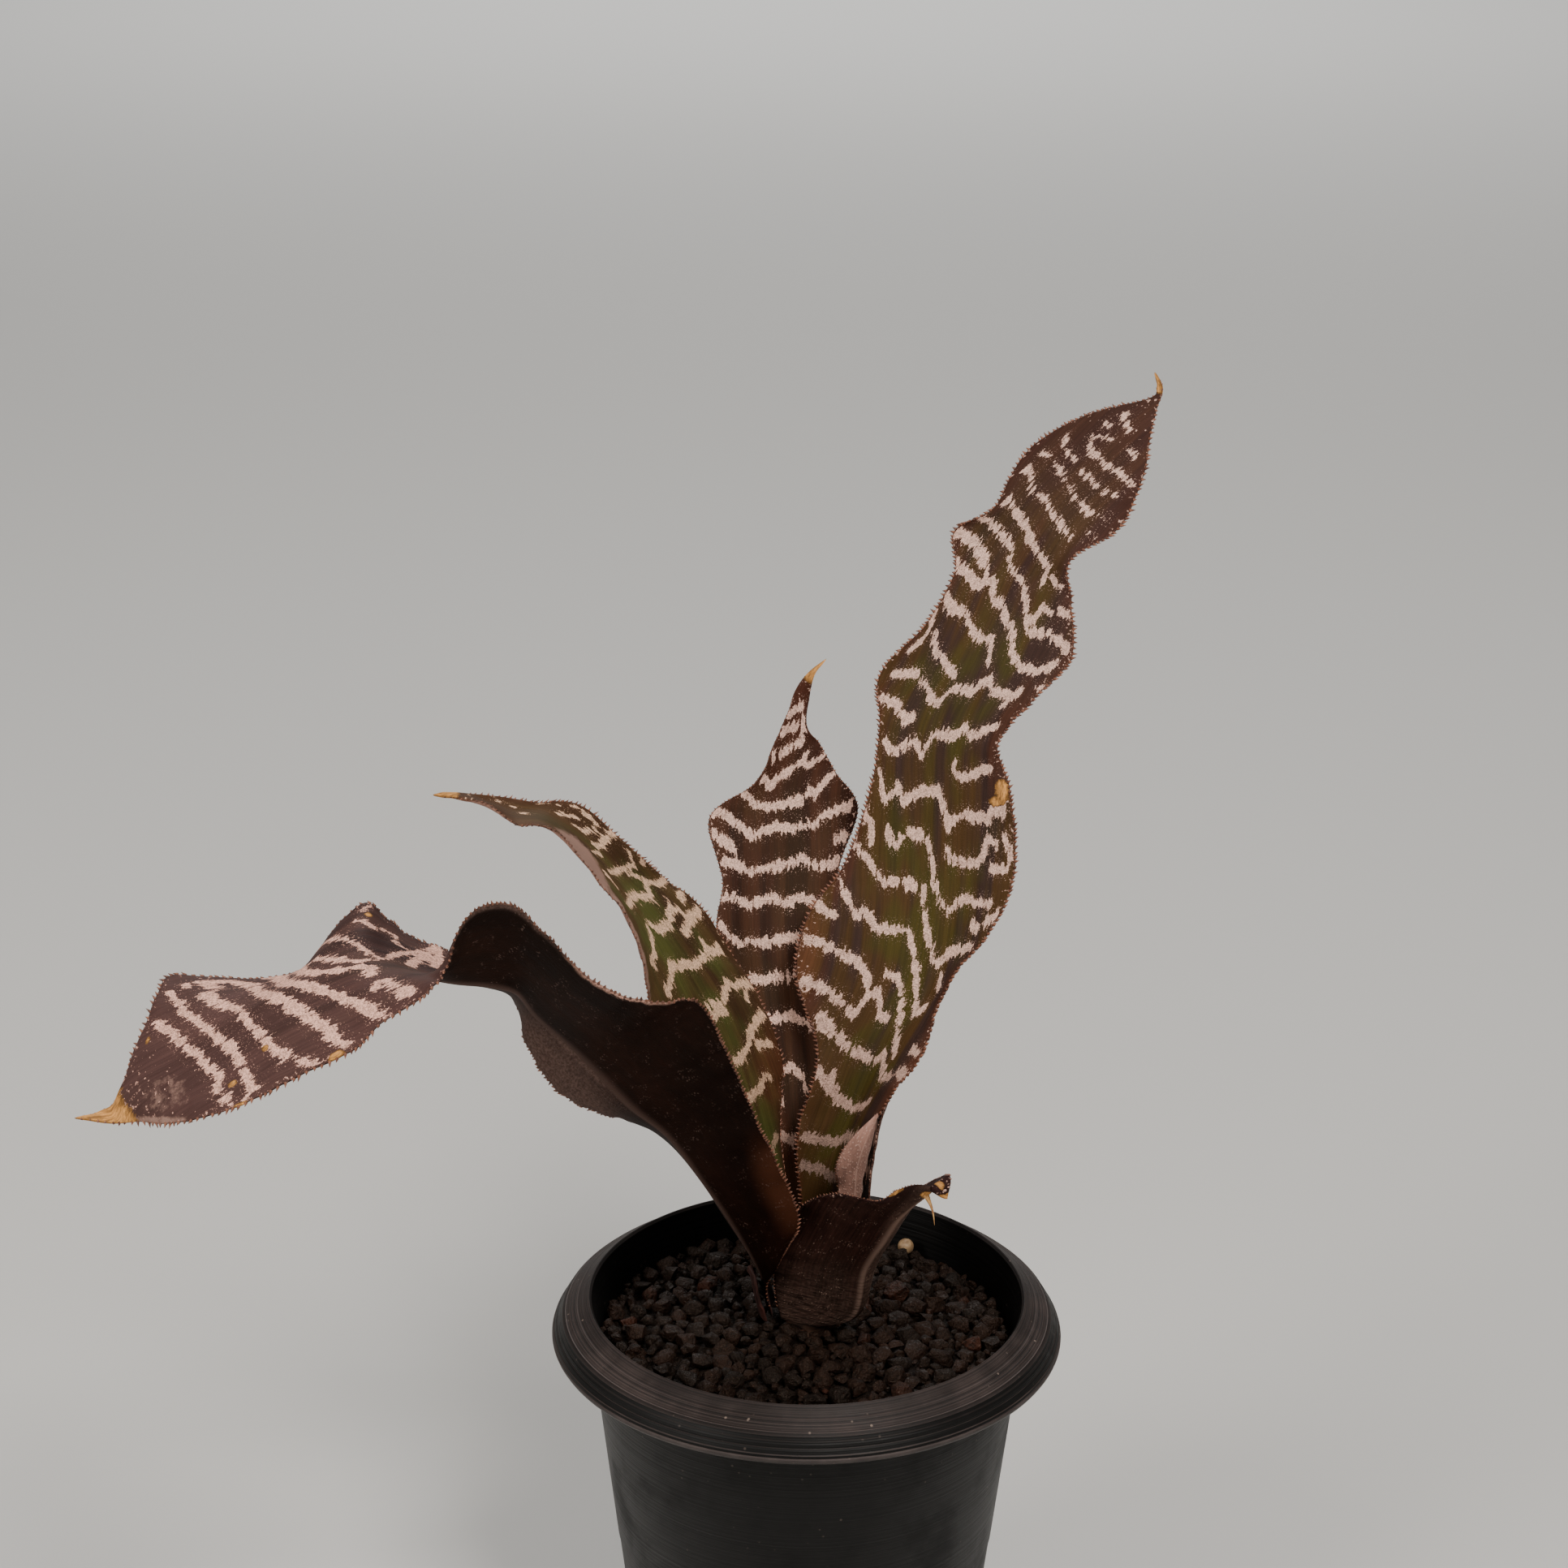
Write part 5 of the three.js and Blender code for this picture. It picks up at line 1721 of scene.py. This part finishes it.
HANGING_BANDS = (
    bands(
        0.34,
        ((0.75, 84.5), (0.4, 83), (0.1, 82), (-0.2, 81), (-0.55, 79.5), (-0.7, 80), (-0.95, 79)),
        ((0.8, 81), (0.5, 80.5), (0, 79), (-0.3, 77.5), (-0.65, 77), (-0.9, 76.5), (-0.95, 77.5)),
        ((0.8, 79), (0.75, 79)),
        ((0.85, 78), (0.7, 77)),
        ((0.6, 78), (0.45, 77.5), (0.15, 76), (-0.2, 75), (-0.45, 74), (-0.75, 72.5), (-0.8, 73)),
        ((-0.85, 71.5), (-0.95, 70)),
    )
    + bands(
        0.46,
        ((0.85, 77), (0.85, 76), (0.65, 74.5), (0.4, 74), (0.1, 72.5), (-0.15, 71), (-0.4, 69.5),
         (-0.65, 68), (-0.9, 67)),
        ((0.95, 73.5), (0.7, 72.5), (0.3, 71.5), (0.05, 69.5), (-0.15, 67.5), (-0.35, 65.5),
         (-0.7, 63), (-0.95, 62)),
        ((0.95, 71.5), (0.3, 69), (0.05, 67), (-0.05, 64), (-0.1, 61), (-0.25, 61.5)),
        ((-0.5, 61.5), (-0.4, 60.5), (-0.5, 60), (-0.85, 59.5)),
        ((0.1, 56), (0.3, 55), (0.75, 53), (0.95, 52.5)),
        ((1, 52), (0.6, 52), (0.35, 52.5)),
    )
    + bands(
        0.27,
        ((0.45, 68.5), (0.45, 67.5), (0.15, 65), (0, 62), (0.1, 59), (0.5, 55.5), (0.9, 52.5)),
        ((0.8, 68.5), (0.7, 66), (0.4, 63.5), (0.1, 60.5), (0.1, 59.5)),
        ((0.7, 63), (0.6, 60.5), (0.7, 59)),
        ((0.7, 58.5), (0.7, 57.5), (0.55, 57.5), (0.55, 55.5)),
        ((0.85, 62.5), (0.95, 61.5)),
    )
    + bands(0.6, ((-1, 39), (-1, 30.5)))
    + zigzags(8.0, 50.0, 3.9, 17, 0.38)
)

TALL_PATCHES = (
    Patch(Mark.DRY, 42.2, 0.93, 3.3, 2.2),
    Patch(Mark.DRY, 41.3, 0.85, 1.4, 2.6),
    Patch(Mark.BLUSH, 28.0, -1.0, 13.0, 6.0),
    Patch(Mark.BLUSH, 19.0, 1.0, 12.0, 5.0),
)
LEFT_PATCHES = (
    Patch(Mark.FROST, 62.5, -0.75, 9.0, 9.5),
    Patch(Mark.FROST, 50.0, -1.0, 16.0, 4.6),
    Patch(Mark.BLUSH, 22.0, 0.8, 14.0, 8.0),
)
HANGING_PATCHES = (
    Patch(Mark.SCURF, 31.5, 0.75, 28.0, 14.0),
    Patch(Mark.SCURF, 31.5, 0.04, 18.0, 1.4),
    Patch(Mark.SCURF, 17.0, 0.98, 20.0, 1.8, 0.7),
    Patch(Mark.FROST, 85.5, -0.5, 7.0, 7.0, 0.4),
    Patch(Mark.FROST, 88.0, -0.97, 8.0, 1.8, 0.7),
    Patch(Mark.SCURF, 46.0, -1.0, 16.0, 1.3),
    Patch(Mark.TURNED, 34.6, -1.0, 13.0, 1.1),
    Patch(Mark.BLUSH, 15.0, -0.95, 16.0, 5.0),
    Patch(Mark.DRY, 85.9, 0.66, 0.8, 0.8, 0.8),
    Patch(Mark.DRY, 78.4, -0.71, 1.1, 0.9),
    Patch(Mark.DRY, 74.2, -0.54, 0.9, 0.8),
    Patch(Mark.DRY, 68.0, -0.97, 1.6, 1.2),
    Patch(Mark.DRY, 78.1, -1.0, 1.6, 0.9),
    Patch(Mark.DRY, 61.5, 0.79, 1.0, 0.9),
)
SMALL_PATCHES = (
    Patch(Mark.SCURF, 34.0, -0.62, 24.0, 2.6),
    Patch(Mark.SCURF, 56.0, -0.92, 12.0, 1.5),
    Patch(Mark.SCURF, 38.0, -0.2, 36.0, 6.0, 0.3),
    Patch(Mark.SCURF, 4.0, 0.4, 24.0, 22.0, 0.22),
    Patch(Mark.TURNED, 60.0, 1.0, 12.0, 2.2),
    Patch(Mark.DRY, 97.5, 0.4, 1.6, 1.4),
    Patch(Mark.DRY, 88.0, -0.4, 1.6, 0.9),
    Patch(Mark.DRY, 80.3, 0.04, 1.8, 1.2),
    Patch(Mark.DRY, 73.2, 0.95, 2.6, 0.9),
)


def leaves() -> list[Leaf]:
    """The six living blades, the tall one's folded margin and the dried base of a seventh.

    Returns:
        The blades.
    """
    return [
        Leaf(
            "leaf_right_tall",
            TALL,
            LEAF_RIGHT_TALL_RAILS,
            rows=390,
            columns=76,
            tooth_length=0.85,
            tooth_spacing=0.85,
            tooth_radius=0.34,
            bands=TALL_BANDS,
            patches=TALL_PATCHES,
            dry_tip=4.4,
            seed=1.3,
            right_teeth_from=0.17,
        ),
        Leaf(
            "tall_fold",
            TALL,
            TALL_FOLD_RAILS,
            rows=80,
            columns=24,
            tooth_length=0.45,
            dry_tip=0.0,
            seed=1.9,
            own_solid=False,
            left_teeth_from=1.0,
        ),
        Leaf(
            "leaf_back",
            BACK,
            LEAF_BACK_RAILS,
            rows=250,
            columns=56,
            tooth_length=0.42,
            bands=BACK_BANDS,
            dry_tip=6.5,
            seed=2.1,
        ),
        Leaf(
            "leaf_left",
            LEFT,
            LEAF_LEFT_RAILS,
            rows=266,
            columns=60,
            tooth_length=0.9,
            tooth_spacing=0.95,
            tooth_radius=0.25,
            bands=LEFT_BANDS,
            patches=LEFT_PATCHES,
            seed=3.7,
        ),
        Leaf(
            "leaf_front_left",
            HANGING,
            LEAF_FRONT_LEFT_RAILS,
            cup=0.35,
            rows=400,
            columns=90,
            tooth_length=0.8,
            tooth_spacing=1.05,
            tooth_radius=0.29,
            ripple=0.36,
            bands=HANGING_BANDS,
            patches=HANGING_PATCHES,
            dry_tip=10.5,
            seed=4.4,
        ),
        Leaf(
            "leaf_front_small",
            SMALL,
            LEAF_FRONT_SMALL_RAILS,
            cup=0.5,
            rows=160,
            columns=50,
            tooth_length=0.42,
            bands=zigzags(12.0, 48.0, 9.0, 5, 0.4),
            patches=SMALL_PATCHES,
            dry_tip=1.2,
            seed=5.2,
        ),
        Leaf(
            "leaf_back_right",
            HIDDEN,
            LEAF_BACK_RIGHT_RAILS,
            rows=180,
            columns=40,
            tooth_length=0.45,
            bands=zigzags(10.0, 92.0, 7.0, 6, 0.4),
            seed=6.6,
        ),
        Leaf(
            "dried_sheath",
            SHEATH,
            DRIED_SHEATH_RAILS,
            cup=0.7,
            rows=60,
            columns=24,
            ripple=0.5,
            tooth_length=0.0,
            seed=7.1,
            slot="dried_leaf",
        ),
    ]


@dataclass(frozen=True)
class Spine:
    """Thin dried spine that bends down from the small leaf's end."""

    root: Point = (19.4, -28.0, 118.8)
    tip: Point = (21.0, -29.2, 113.7)
    radius: float = 0.62
    bow: float = 0.35

    def build(self) -> Piece:
        """Builds the spine as a long bent cone.

        Returns:
            The piece.
        """
        bm = bmesh.new()
        bmesh.ops.create_cone(bm, cap_ends=True, segments=10, radius1=self.radius, radius2=0.06, depth=1.0)
        sides = [edge for edge in bm.edges if abs(edge.verts[0].co.z - edge.verts[1].co.z) > 0.5]
        bmesh.ops.subdivide_edges(bm, edges=sides, cuts=12, use_grid_fill=True)
        root, tip = Vector(self.root), Vector(self.tip)
        axis = tip - root
        frame_of = axis.to_track_quat("Z", "Y").to_matrix()
        for vert in bm.verts:
            share = vert.co.z + 0.5
            slim = 0.5 + 0.5 * (1.0 - share) ** 3
            flat = frame_of @ Vector((vert.co.x * slim, vert.co.y * slim, 0.0))
            bend = Vector((self.bow, 0.0, 0.3 * self.bow)) * math.sin(math.pi * share)
            vert.co = (root + axis * share + bend + flat) * MM
        bmesh.ops.recalc_face_normals(bm, faces=bm.faces)
        return to_piece(bm, "hanging_spine", SPINE.make())


SPINE = PlainFinish(
    "dried_spine",
    light=srgb(214, 168, 104),
    dark=srgb(140, 90, 52),
    scale=900.0,
    roughness=0.5,
    relief=0.08 * MM,
)


# ---------------------------------------------------------------- pot
# Turned steps of the skirt, from its foot up: how far in from the rim and how far above the foot,
# in millimetres.
SKIRT_STEPS = (
    (0.3, 0.0),
    (0.0, 0.5),
    (0.0, 0.9),
    (0.28, 1.05),
    (0.14, 1.25),
    (0.2, 1.5),
    (0.45, 1.7),
    (0.85, 2.5),
    (1.02, 2.6),
    (1.0, 2.85),
    (1.4, 3.5),
    (1.6, 3.7),
)
# Turned steps of the slope: a share of it, from the skirt to the mouth, and a lift in millimetres.
SLOPE_STEPS = (
    (0.0, 0.0),
    (0.16, 0.1),
    (0.19, 0.0),
    (0.42, 0.06),
    (0.45, 0.0),
    (0.68, 0.07),
    (0.71, 0.0),
    (1.0, 0.0),
)


@dataclass(frozen=True)
class Pot:
    """Round tapered pot with a turned sloping rim, an open skirt and drain holes."""

    height: float = 85.0
    foot_radius: float = 29.2
    wall: float = 1.2
    taper: float = 0.117
    floor: float = 1.8
    rim_radius: float = 45.0
    skirt_foot: float = 77.4
    groove_height: float = 81.3
    drain_holes: int = 8
    drain_radius: float = 2.6
    drain_ring: float = 20.0
    gate_radius: float = 1.8
    gate_depth: float = 0.35
    corner_radius: float = 0.07
    round_steps: int = 256

    def outer(self, height: float) -> float:
        """Radius of the outer wall at a height."""
        return self.foot_radius + self.taper * height

    def inner(self, height: float) -> float:
        """Radius of the inner wall at a height."""
        return self.outer(height) - self.wall

    def profile(self) -> list[tuple[float, float]]:
        """Outline of half a section, from the axis under the floor to the axis above it.

        Returns:
            Radius and height of each point in millimetres.
        """
        rim = self.rim_radius
        mouth = self.inner(self.height)
        roof = self.groove_height - 0.5
        skirt = [(rim - inset, self.skirt_foot + rise) for inset, rise in SKIRT_STEPS]
        low, high = self.groove_height + 0.3, self.height - 0.8
        start, end = rim - 1.8, mouth + 1.4
        slope = [
            (start + share * (end - start), low + share * (high - low) + lift)
            for share, lift in SLOPE_STEPS
        ]
        return [
            (0.0, self.gate_depth),
            (self.gate_radius, self.gate_depth),
            (self.gate_radius + 0.3, 0.0),
            (self.foot_radius - 1.2, 0.0),
            (self.outer(1.2), 1.2),
            (self.outer(38.0), 38.0),
            (self.outer(38.4) + 0.12, 38.4),
            (self.outer(self.skirt_foot), self.skirt_foot),
            (self.outer(roof), roof),
            (rim - 2.2, roof - 1.4),
            (rim - 1.4, self.skirt_foot + 0.2),
            *skirt,
            *slope,
            (mouth + 0.5, self.height),
            (mouth, self.height - 0.5),
            (self.inner(70.0), 70.0),
            (self.inner(3.3), 3.3),
            (self.inner(self.floor) - 1.5, self.floor),
            (0.0, self.floor),
        ]

    def cutters(self) -> Piece:
        """Cylinders that cut the drain holes, as one object.

        Returns:
            The object.
        """
        bm = bmesh.new()
        for number in range(self.drain_holes):
            angle = FULL_TURN * number / self.drain_holes
            x, y = self.drain_ring * math.cos(angle), self.drain_ring * math.sin(angle)
            place = Vector((x, y, 0.5 * self.floor))
            bmesh.ops.create_cone(
                bm,
                cap_ends=True,
                segments=32,
                radius1=self.drain_radius * MM,
                radius2=self.drain_radius * MM,
                depth=4.0 * self.floor * MM,
                matrix=Matrix.Translation(place * MM),
            )
        mesh = bpy.data.meshes.new("drain_cutters")
        bm.to_mesh(mesh)
        bm.free()
        cutters = bpy.data.objects.new("drain_cutters", mesh)
        bpy.context.scene.collection.objects.link(cutters)
        return cutters

    def build(self) -> Piece:
        """Builds the pot with rounded corners and drilled drain holes.

        Returns:
            The piece.
        """
        bm = spun(self.profile(), self.round_steps)
        sharp = math.radians(24.0)
        inner_edges = [edge for edge in bm.edges if len(edge.link_faces) == 2]
        corners = [edge for edge in inner_edges if edge.calc_face_angle() > sharp]
        bmesh.ops.bevel(
            bm,
            geom=corners,
            offset=self.corner_radius * MM,
            segments=2,
            profile=0.5,
            affect="EDGES",
            material=-1,
            clamp_overlap=True,
        )
        piece = to_piece(bm, "pot_body", PotFinish("pot_plastic_finish").make(), ("pot",))
        cutters = self.cutters()
        drill = piece.modifiers.new("drains", "BOOLEAN")
        drill.object = cutters
        drill.operation = "DIFFERENCE"
        drill.solver = "EXACT"
        bpy.context.view_layer.update()
        drilled = bpy.data.meshes.new_from_object(piece.evaluated_get(bpy.context.evaluated_depsgraph_get()))
        piece.modifiers.clear()
        piece.data = drilled
        bpy.data.objects.remove(cutters)
        for polygon in drilled.polygons:
            polygon.use_smooth = True
        drilled.set_sharp_from_angle(angle=math.radians(50.0))
        return piece


POT = Pot()


# ---------------------------------------------------------------- potting mix
@dataclass(frozen=True)
class Mix:
    """Potting mix: a dark bed that fills the pot and loose angular granules on it."""

    crown: float = 79.6
    edge_drop: float = 2.4
    tilt: float = 1.5
    tilt_azimuth: float = 35.0
    plant: tuple[float, float] = (0.8, 0.8)
    gap: float = 0.35
    stem_radius: float = 5.2
    bed_depth: float = 1.4

    def level(self, x: float, y: float) -> float:
        """Height of the smoothed surface of the mix.

        Args:
            x: Place in millimetres.
            y: Place in millimetres.

        Returns:
            The height in millimetres.
        """
        mouth = POT.inner(POT.height)
        share = min(1.0, math.hypot(x - self.plant[0], y - self.plant[1]) / mouth)
        azimuth = math.radians(self.tilt_azimuth)
        lean = (x * math.cos(azimuth) + y * math.sin(azimuth)) / mouth
        return self.crown - self.edge_drop * share * share - self.tilt * max(0.0, lean) * share

    def bed(self) -> Piece:
        """Builds the dark body of the mix under the granules.

        Returns:
            The piece.
        """
        bottom = POT.floor + self.gap
        corner_height = 5.0
        flat_top = 75.0  # the ring heights before the surface is shaped
        corner = (POT.inner(corner_height) - self.gap, corner_height)
        edge = POT.inner(70.0) - self.gap
        rings = [(edge * share, flat_top) for share in np.linspace(1.0, 0.0, 30)]
        bm = spun([(0.0, bottom), (POT.inner(bottom) - 2.2, bottom), corner, *rings], 128)
        for vert in bm.verts:
            x, y, z = (value / MM for value in vert.co)
            if z > flat_top - 1.0:
                lumps = 0.8 * noise.noise(Vector((x / 2.6, y / 2.6, 0.0)))
                grains = 0.3 * noise.noise(Vector((x, y, 4.0)))
                vert.co.z = (self.level(x, y) - self.bed_depth + lumps + grains) * MM
        tone = bm.verts.layers.float.new("tone")
        for vert in bm.verts:
            vert[tone] = 0.1
        return to_piece(bm, "mix_bed", GranuleFinish("granule_finish").make(), ("soil",))

    def granules(self) -> Piece:
        """Strews angular granules of three sizes over the bed.

        Returns:
            The piece.
        """
        chance = np.random.default_rng(41)
        bm = bmesh.new()
        tone = bm.verts.layers.float.new("tone")
        wall = POT.inner(77.0)
        taken: list[tuple[float, float, float]] = []
        for x, y, size, shade in BIG_GRANULES:
            self.granule(bm, tone, chance, (x, y), size, 0.35, shade, 0.9)
            taken.append((x, y, size))
        for count, low, high, sink in GRANULE_SIZES:
            for _ in range(count):
                for _ in range(GRANULE_TRIES):
                    size = chance.uniform(low, high)
                    radius = (wall - size) * math.sqrt(chance.uniform(0.0, 1.0))
                    angle = chance.uniform(0.0, FULL_TURN)
                    x, y = radius * math.cos(angle), radius * math.sin(angle)
                    away = math.hypot(x - self.plant[0], y - self.plant[1])
                    near_stem = away < self.stem_radius + 0.4 * size
                    if near_stem or any(math.hypot(x - a, y - b) < 0.72 * (size + c) for a, b, c in taken):
                        continue
                    taken.append((x, y, size))
                    self.granule(bm, tone, chance, (x, y), size, sink, chance.uniform(0.0, 1.0), 1.0)
                    break
        piece = to_piece(bm, "mix_granules", GranuleFinish("granule_finish").make())
        piece.data.set_sharp_from_angle(angle=math.radians(52.0))
        return piece

    def granule(
        self,
        bm: Mesh,
        tone: bmesh.types.BMLayerItem,
        chance: np.random.Generator,
        place: tuple[float, float],
        size: float,
        sink: float,
        shade: float,
        flatness: float,
    ) -> None:
        """Adds one angular granule: the hull of a few scattered points.

        Args:
            bm: Mesh that it is added to.
            tone: Layer of the granules' tones.
            chance: Source of its shape.
            place: Its middle in millimetres.
            size: Half its width in millimetres.
            sink: How far its middle lies under the surface, as a share of its size.
            shade: Tone from 0 for dark to 1 for reddish brown.
            flatness: Its height as a share of its width.
        """
        spread = chance.normal(size=(24, 3))
        spread /= np.linalg.norm(spread, axis=1, keepdims=True)
        spread *= chance.uniform(0.78, 1.08, (24, 1))
        spread *= np.array([1.0, chance.uniform(0.7, 0.95), flatness * chance.uniform(0.6, 0.9)])
        turn = Euler(tuple(chance.uniform(-0.5, 0.5, 2)) + (chance.uniform(0.0, 6.3),)).to_matrix()
        centre = Vector((place[0], place[1], self.level(*place) + size * (0.1 - sink)))
        corners = [bm.verts.new((centre + turn @ Vector(corner * size)) * MM) for corner in spread]
        for corner in corners:
            corner[tone] = shade
        made = bmesh.ops.convex_hull(bm, input=corners)
        inside = made["geom_interior"] + made["geom_unused"]
        spare = {item for item in inside if isinstance(item, bmesh.types.BMVert)}
        bmesh.ops.delete(bm, geom=list(spare), context="VERTS")


GRANULE_TRIES = 12
GRANULE_SIZES = (  # count, least and greatest half width in millimetres, share sunk in the bed
    (190, 1.9, 2.8, 0.1),
    (330, 1.25, 1.9, 0.2),
    (520, 0.7, 1.2, 0.3),
)
BIG_GRANULES = (  # place and half width in millimetres, tone
    (-14.2, -10.4, 2.9, 0.7),
    (5.8, -10.0, 2.7, 0.75),
    (19.1, -9.1, 2.8, 0.72),
    (-31.8, 1.4, 1.9, 1.0),
    (12.0, -28.0, 2.4, 0.5),
    (-8.0, -31.0, 2.3, 0.4),
    (27.0, 8.0, 2.5, 0.6),
    (-22.0, 14.0, 2.6, 0.65),
)
MIX = Mix()


@dataclass(frozen=True)
class Stem:
    """Short stem that the leaves grow from."""

    place: tuple[float, float] = (0.8, 0.8)
    profile: tuple[tuple[float, float], ...] = (
        (0, 64), (4, 64.6), (4.8, 70), (5.2, 78.6), (4.9, 82.6), (3.4, 85.2), (2.6, 89.6), (1.6, 94), (0, 97),
    )

    def build(self) -> Piece:
        """Builds the stem with the rings that old leaf bases leave.

        Returns:
            The piece.
        """
        table = np.array(self.profile, float)
        steps = np.linspace(0.0, len(table) - 1.0, 90)
        order = np.arange(len(table))
        radii = np.interp(steps, order, table[:, 0])
        heights = np.interp(steps, order, table[:, 1])
        bm = spun(list(zip(radii.tolist(), heights.tolist())), 48)
        for vert in bm.verts:
            x, y, z = (value / MM for value in vert.co)
            rings = 0.12 * math.sin(2.6 * z + 1.5 * noise.noise(Vector((x, y, z)) * 0.3))
            rough = 0.22 * noise.noise(Vector((x, y, z)) * 0.9)
            share = 1.0 + (rings + rough) / 5.2
            vert.co = Vector((x * share + self.place[0], y * share + self.place[1], z)) * MM
        bark = PlainFinish(
            "stem_bark",
            light=srgb(108, 78, 60),
            dark=srgb(54, 38, 30),
            scale=420.0,
            stretch=(1.0, 1.0, 2.0),
            roughness=0.85,
            relief=0.4 * MM,
        )
        return to_piece(bm, "stem_core", bark.make(), ("stem",))


@dataclass(frozen=True)
class Pellet:
    """Small coated feed granule that lies on the mix."""

    place: tuple[float, float] = (18.3, 29.0)
    radius: float = 1.5
    lift: float = 0.3

    def build(self) -> Piece:
        """Builds a slightly uneven ball with a shallow dimple.

        Returns:
            The piece.
        """
        bm = bmesh.new()
        bmesh.ops.create_icosphere(bm, subdivisions=5, radius=1.0)
        centre = Vector((*self.place, MIX.level(*self.place) + self.radius + self.lift))
        for vert in bm.verts:
            way = vert.co.normalized()
            dimple = 0.06 * math.exp(-(((way - Vector((0.3, -0.5, 0.8)).normalized()).length / 0.3) ** 2))
            size = self.radius * (0.985 + 0.02 * noise.noise(way * 2.2) - dimple)
            vert.co = (centre + way * size) * MM
        coat = PlainFinish(
            "pellet_coat",
            light=srgb(160, 132, 98),
            dark=srgb(120, 94, 66),
            scale=700.0,
            roughness=0.5,
            relief=0.06 * MM,
        )
        return to_piece(bm, "pellet_ball", coat.make(), ("feed_pellet",))


# ---------------------------------------------------------------- studio
@dataclass(frozen=True)
class Lamp:
    """One soft square lamp: place and aim in metres, power in watts, side in metres."""

    name: str
    place: Point
    power: float
    side: float
    colour: Colour = (1.0, 1.0, 1.0)
    aim: Point = (0.0, 0.0, 0.12)

    def build(self) -> None:
        """Adds the lamp."""
        light = bpy.data.lights.new(self.name, "AREA")
        light.energy = self.power
        light.size = self.side
        light.color = self.colour
        lamp = bpy.data.objects.new(self.name, light)
        bpy.context.scene.collection.objects.link(lamp)
        lamp.location = self.place
        lamp.rotation_euler = (Vector(self.aim) - Vector(self.place)).to_track_quat("-Z", "Y").to_euler()


@dataclass(frozen=True)
class Studio:
    """Pale floor, soft lamps and the camera."""

    floor_half: float = 5.0
    eye: Point = (0.0, -0.5108, 0.368)
    pitch: float = 0.3521
    yaw: float = -0.0090
    roll: float = 0.0066
    lens: float = 75.0
    sensor: float = 36.0
    lamps: tuple[Lamp, ...] = (
        Lamp("key_light", (0.4, -0.8, 1.2), 17.0, 0.4, (1.0, 0.95, 0.9)),
        Lamp("side_light", (-0.85, -0.6, 0.8), 8.0, 0.5, (1.0, 0.95, 0.9)),
        Lamp("top_light", (0.0, 0.5, 1.2), 5.0, 0.8),
        Lamp("far_floor_light", (0.0, 2.8, 1.5), 42.0, 1.8, aim=(0.0, 3.0, 0.0)),
    )

    def lay_floor(self) -> None:
        """Adds the pale floor at the pot's foot."""
        bm = bmesh.new()
        bmesh.ops.create_grid(bm, x_segments=8, y_segments=8, size=self.floor_half)
        mesh = bpy.data.meshes.new("studio_floor")
        bm.to_mesh(mesh)
        bm.free()
        material = bpy.data.materials.new("studio_floor_finish")
        material.use_nodes = True
        shader = material.node_tree.nodes["Principled BSDF"]
        shader.inputs["Base Color"].default_value = rgba(srgb(206, 205, 202))
        shader.inputs["Roughness"].default_value = 0.85
        mesh.materials.append(material)
        floor = bpy.data.objects.new("studio_floor", mesh)
        bpy.context.scene.collection.objects.link(floor)

    def set_world(self) -> None:
        """Sets an even, dim, pale surround."""
        world = bpy.data.worlds.new("studio_world")
        world.use_nodes = True
        background = world.node_tree.nodes["Background"]
        background.inputs["Color"].default_value = (0.95, 0.92, 0.88, 1.0)
        background.inputs["Strength"].default_value = 0.12
        bpy.context.scene.world = world

    def place_camera(self) -> None:
        """Puts the camera in front of the plant and a little above it."""
        ahead = Vector(
            (
                math.sin(self.yaw) * math.cos(self.pitch),
                math.cos(self.yaw) * math.cos(self.pitch),
                -math.sin(self.pitch),
            )
        )
        level = Vector((math.cos(self.yaw), -math.sin(self.yaw), 0.0))
        above = level.cross(ahead)
        right = math.cos(self.roll) * level + math.sin(self.roll) * above
        up = -math.sin(self.roll) * level + math.cos(self.roll) * above
        view = bpy.data.cameras.new("studio_camera")
        view.lens = self.lens
        view.sensor_width = self.sensor
        view.clip_start = 0.01
        camera = bpy.data.objects.new("studio_camera", view)
        bpy.context.scene.collection.objects.link(camera)
        turn = Matrix((right, up, -ahead)).transposed().to_4x4()
        camera.matrix_world = Matrix.Translation(self.eye) @ turn
        bpy.context.scene.camera = camera

    def build(self) -> None:
        """Builds the whole studio."""
        self.lay_floor()
        self.set_world()
        for lamp in self.lamps:
            lamp.build()
        self.place_camera()


def main() -> None:
    """Builds the plant, its pot and the studio."""
    logging.basicConfig(level=logging.INFO, format="%(name)s: %(message)s")
    POT.build()
    MIX.bed()
    log.info("granules: %d faces", len(MIX.granules().data.polygons))
    Stem().build()
    Pellet().build()
    Spine().build()
    for leaf in leaves():
        leaf.build()
    Studio().build()


if __name__ == "__main__":
    main()
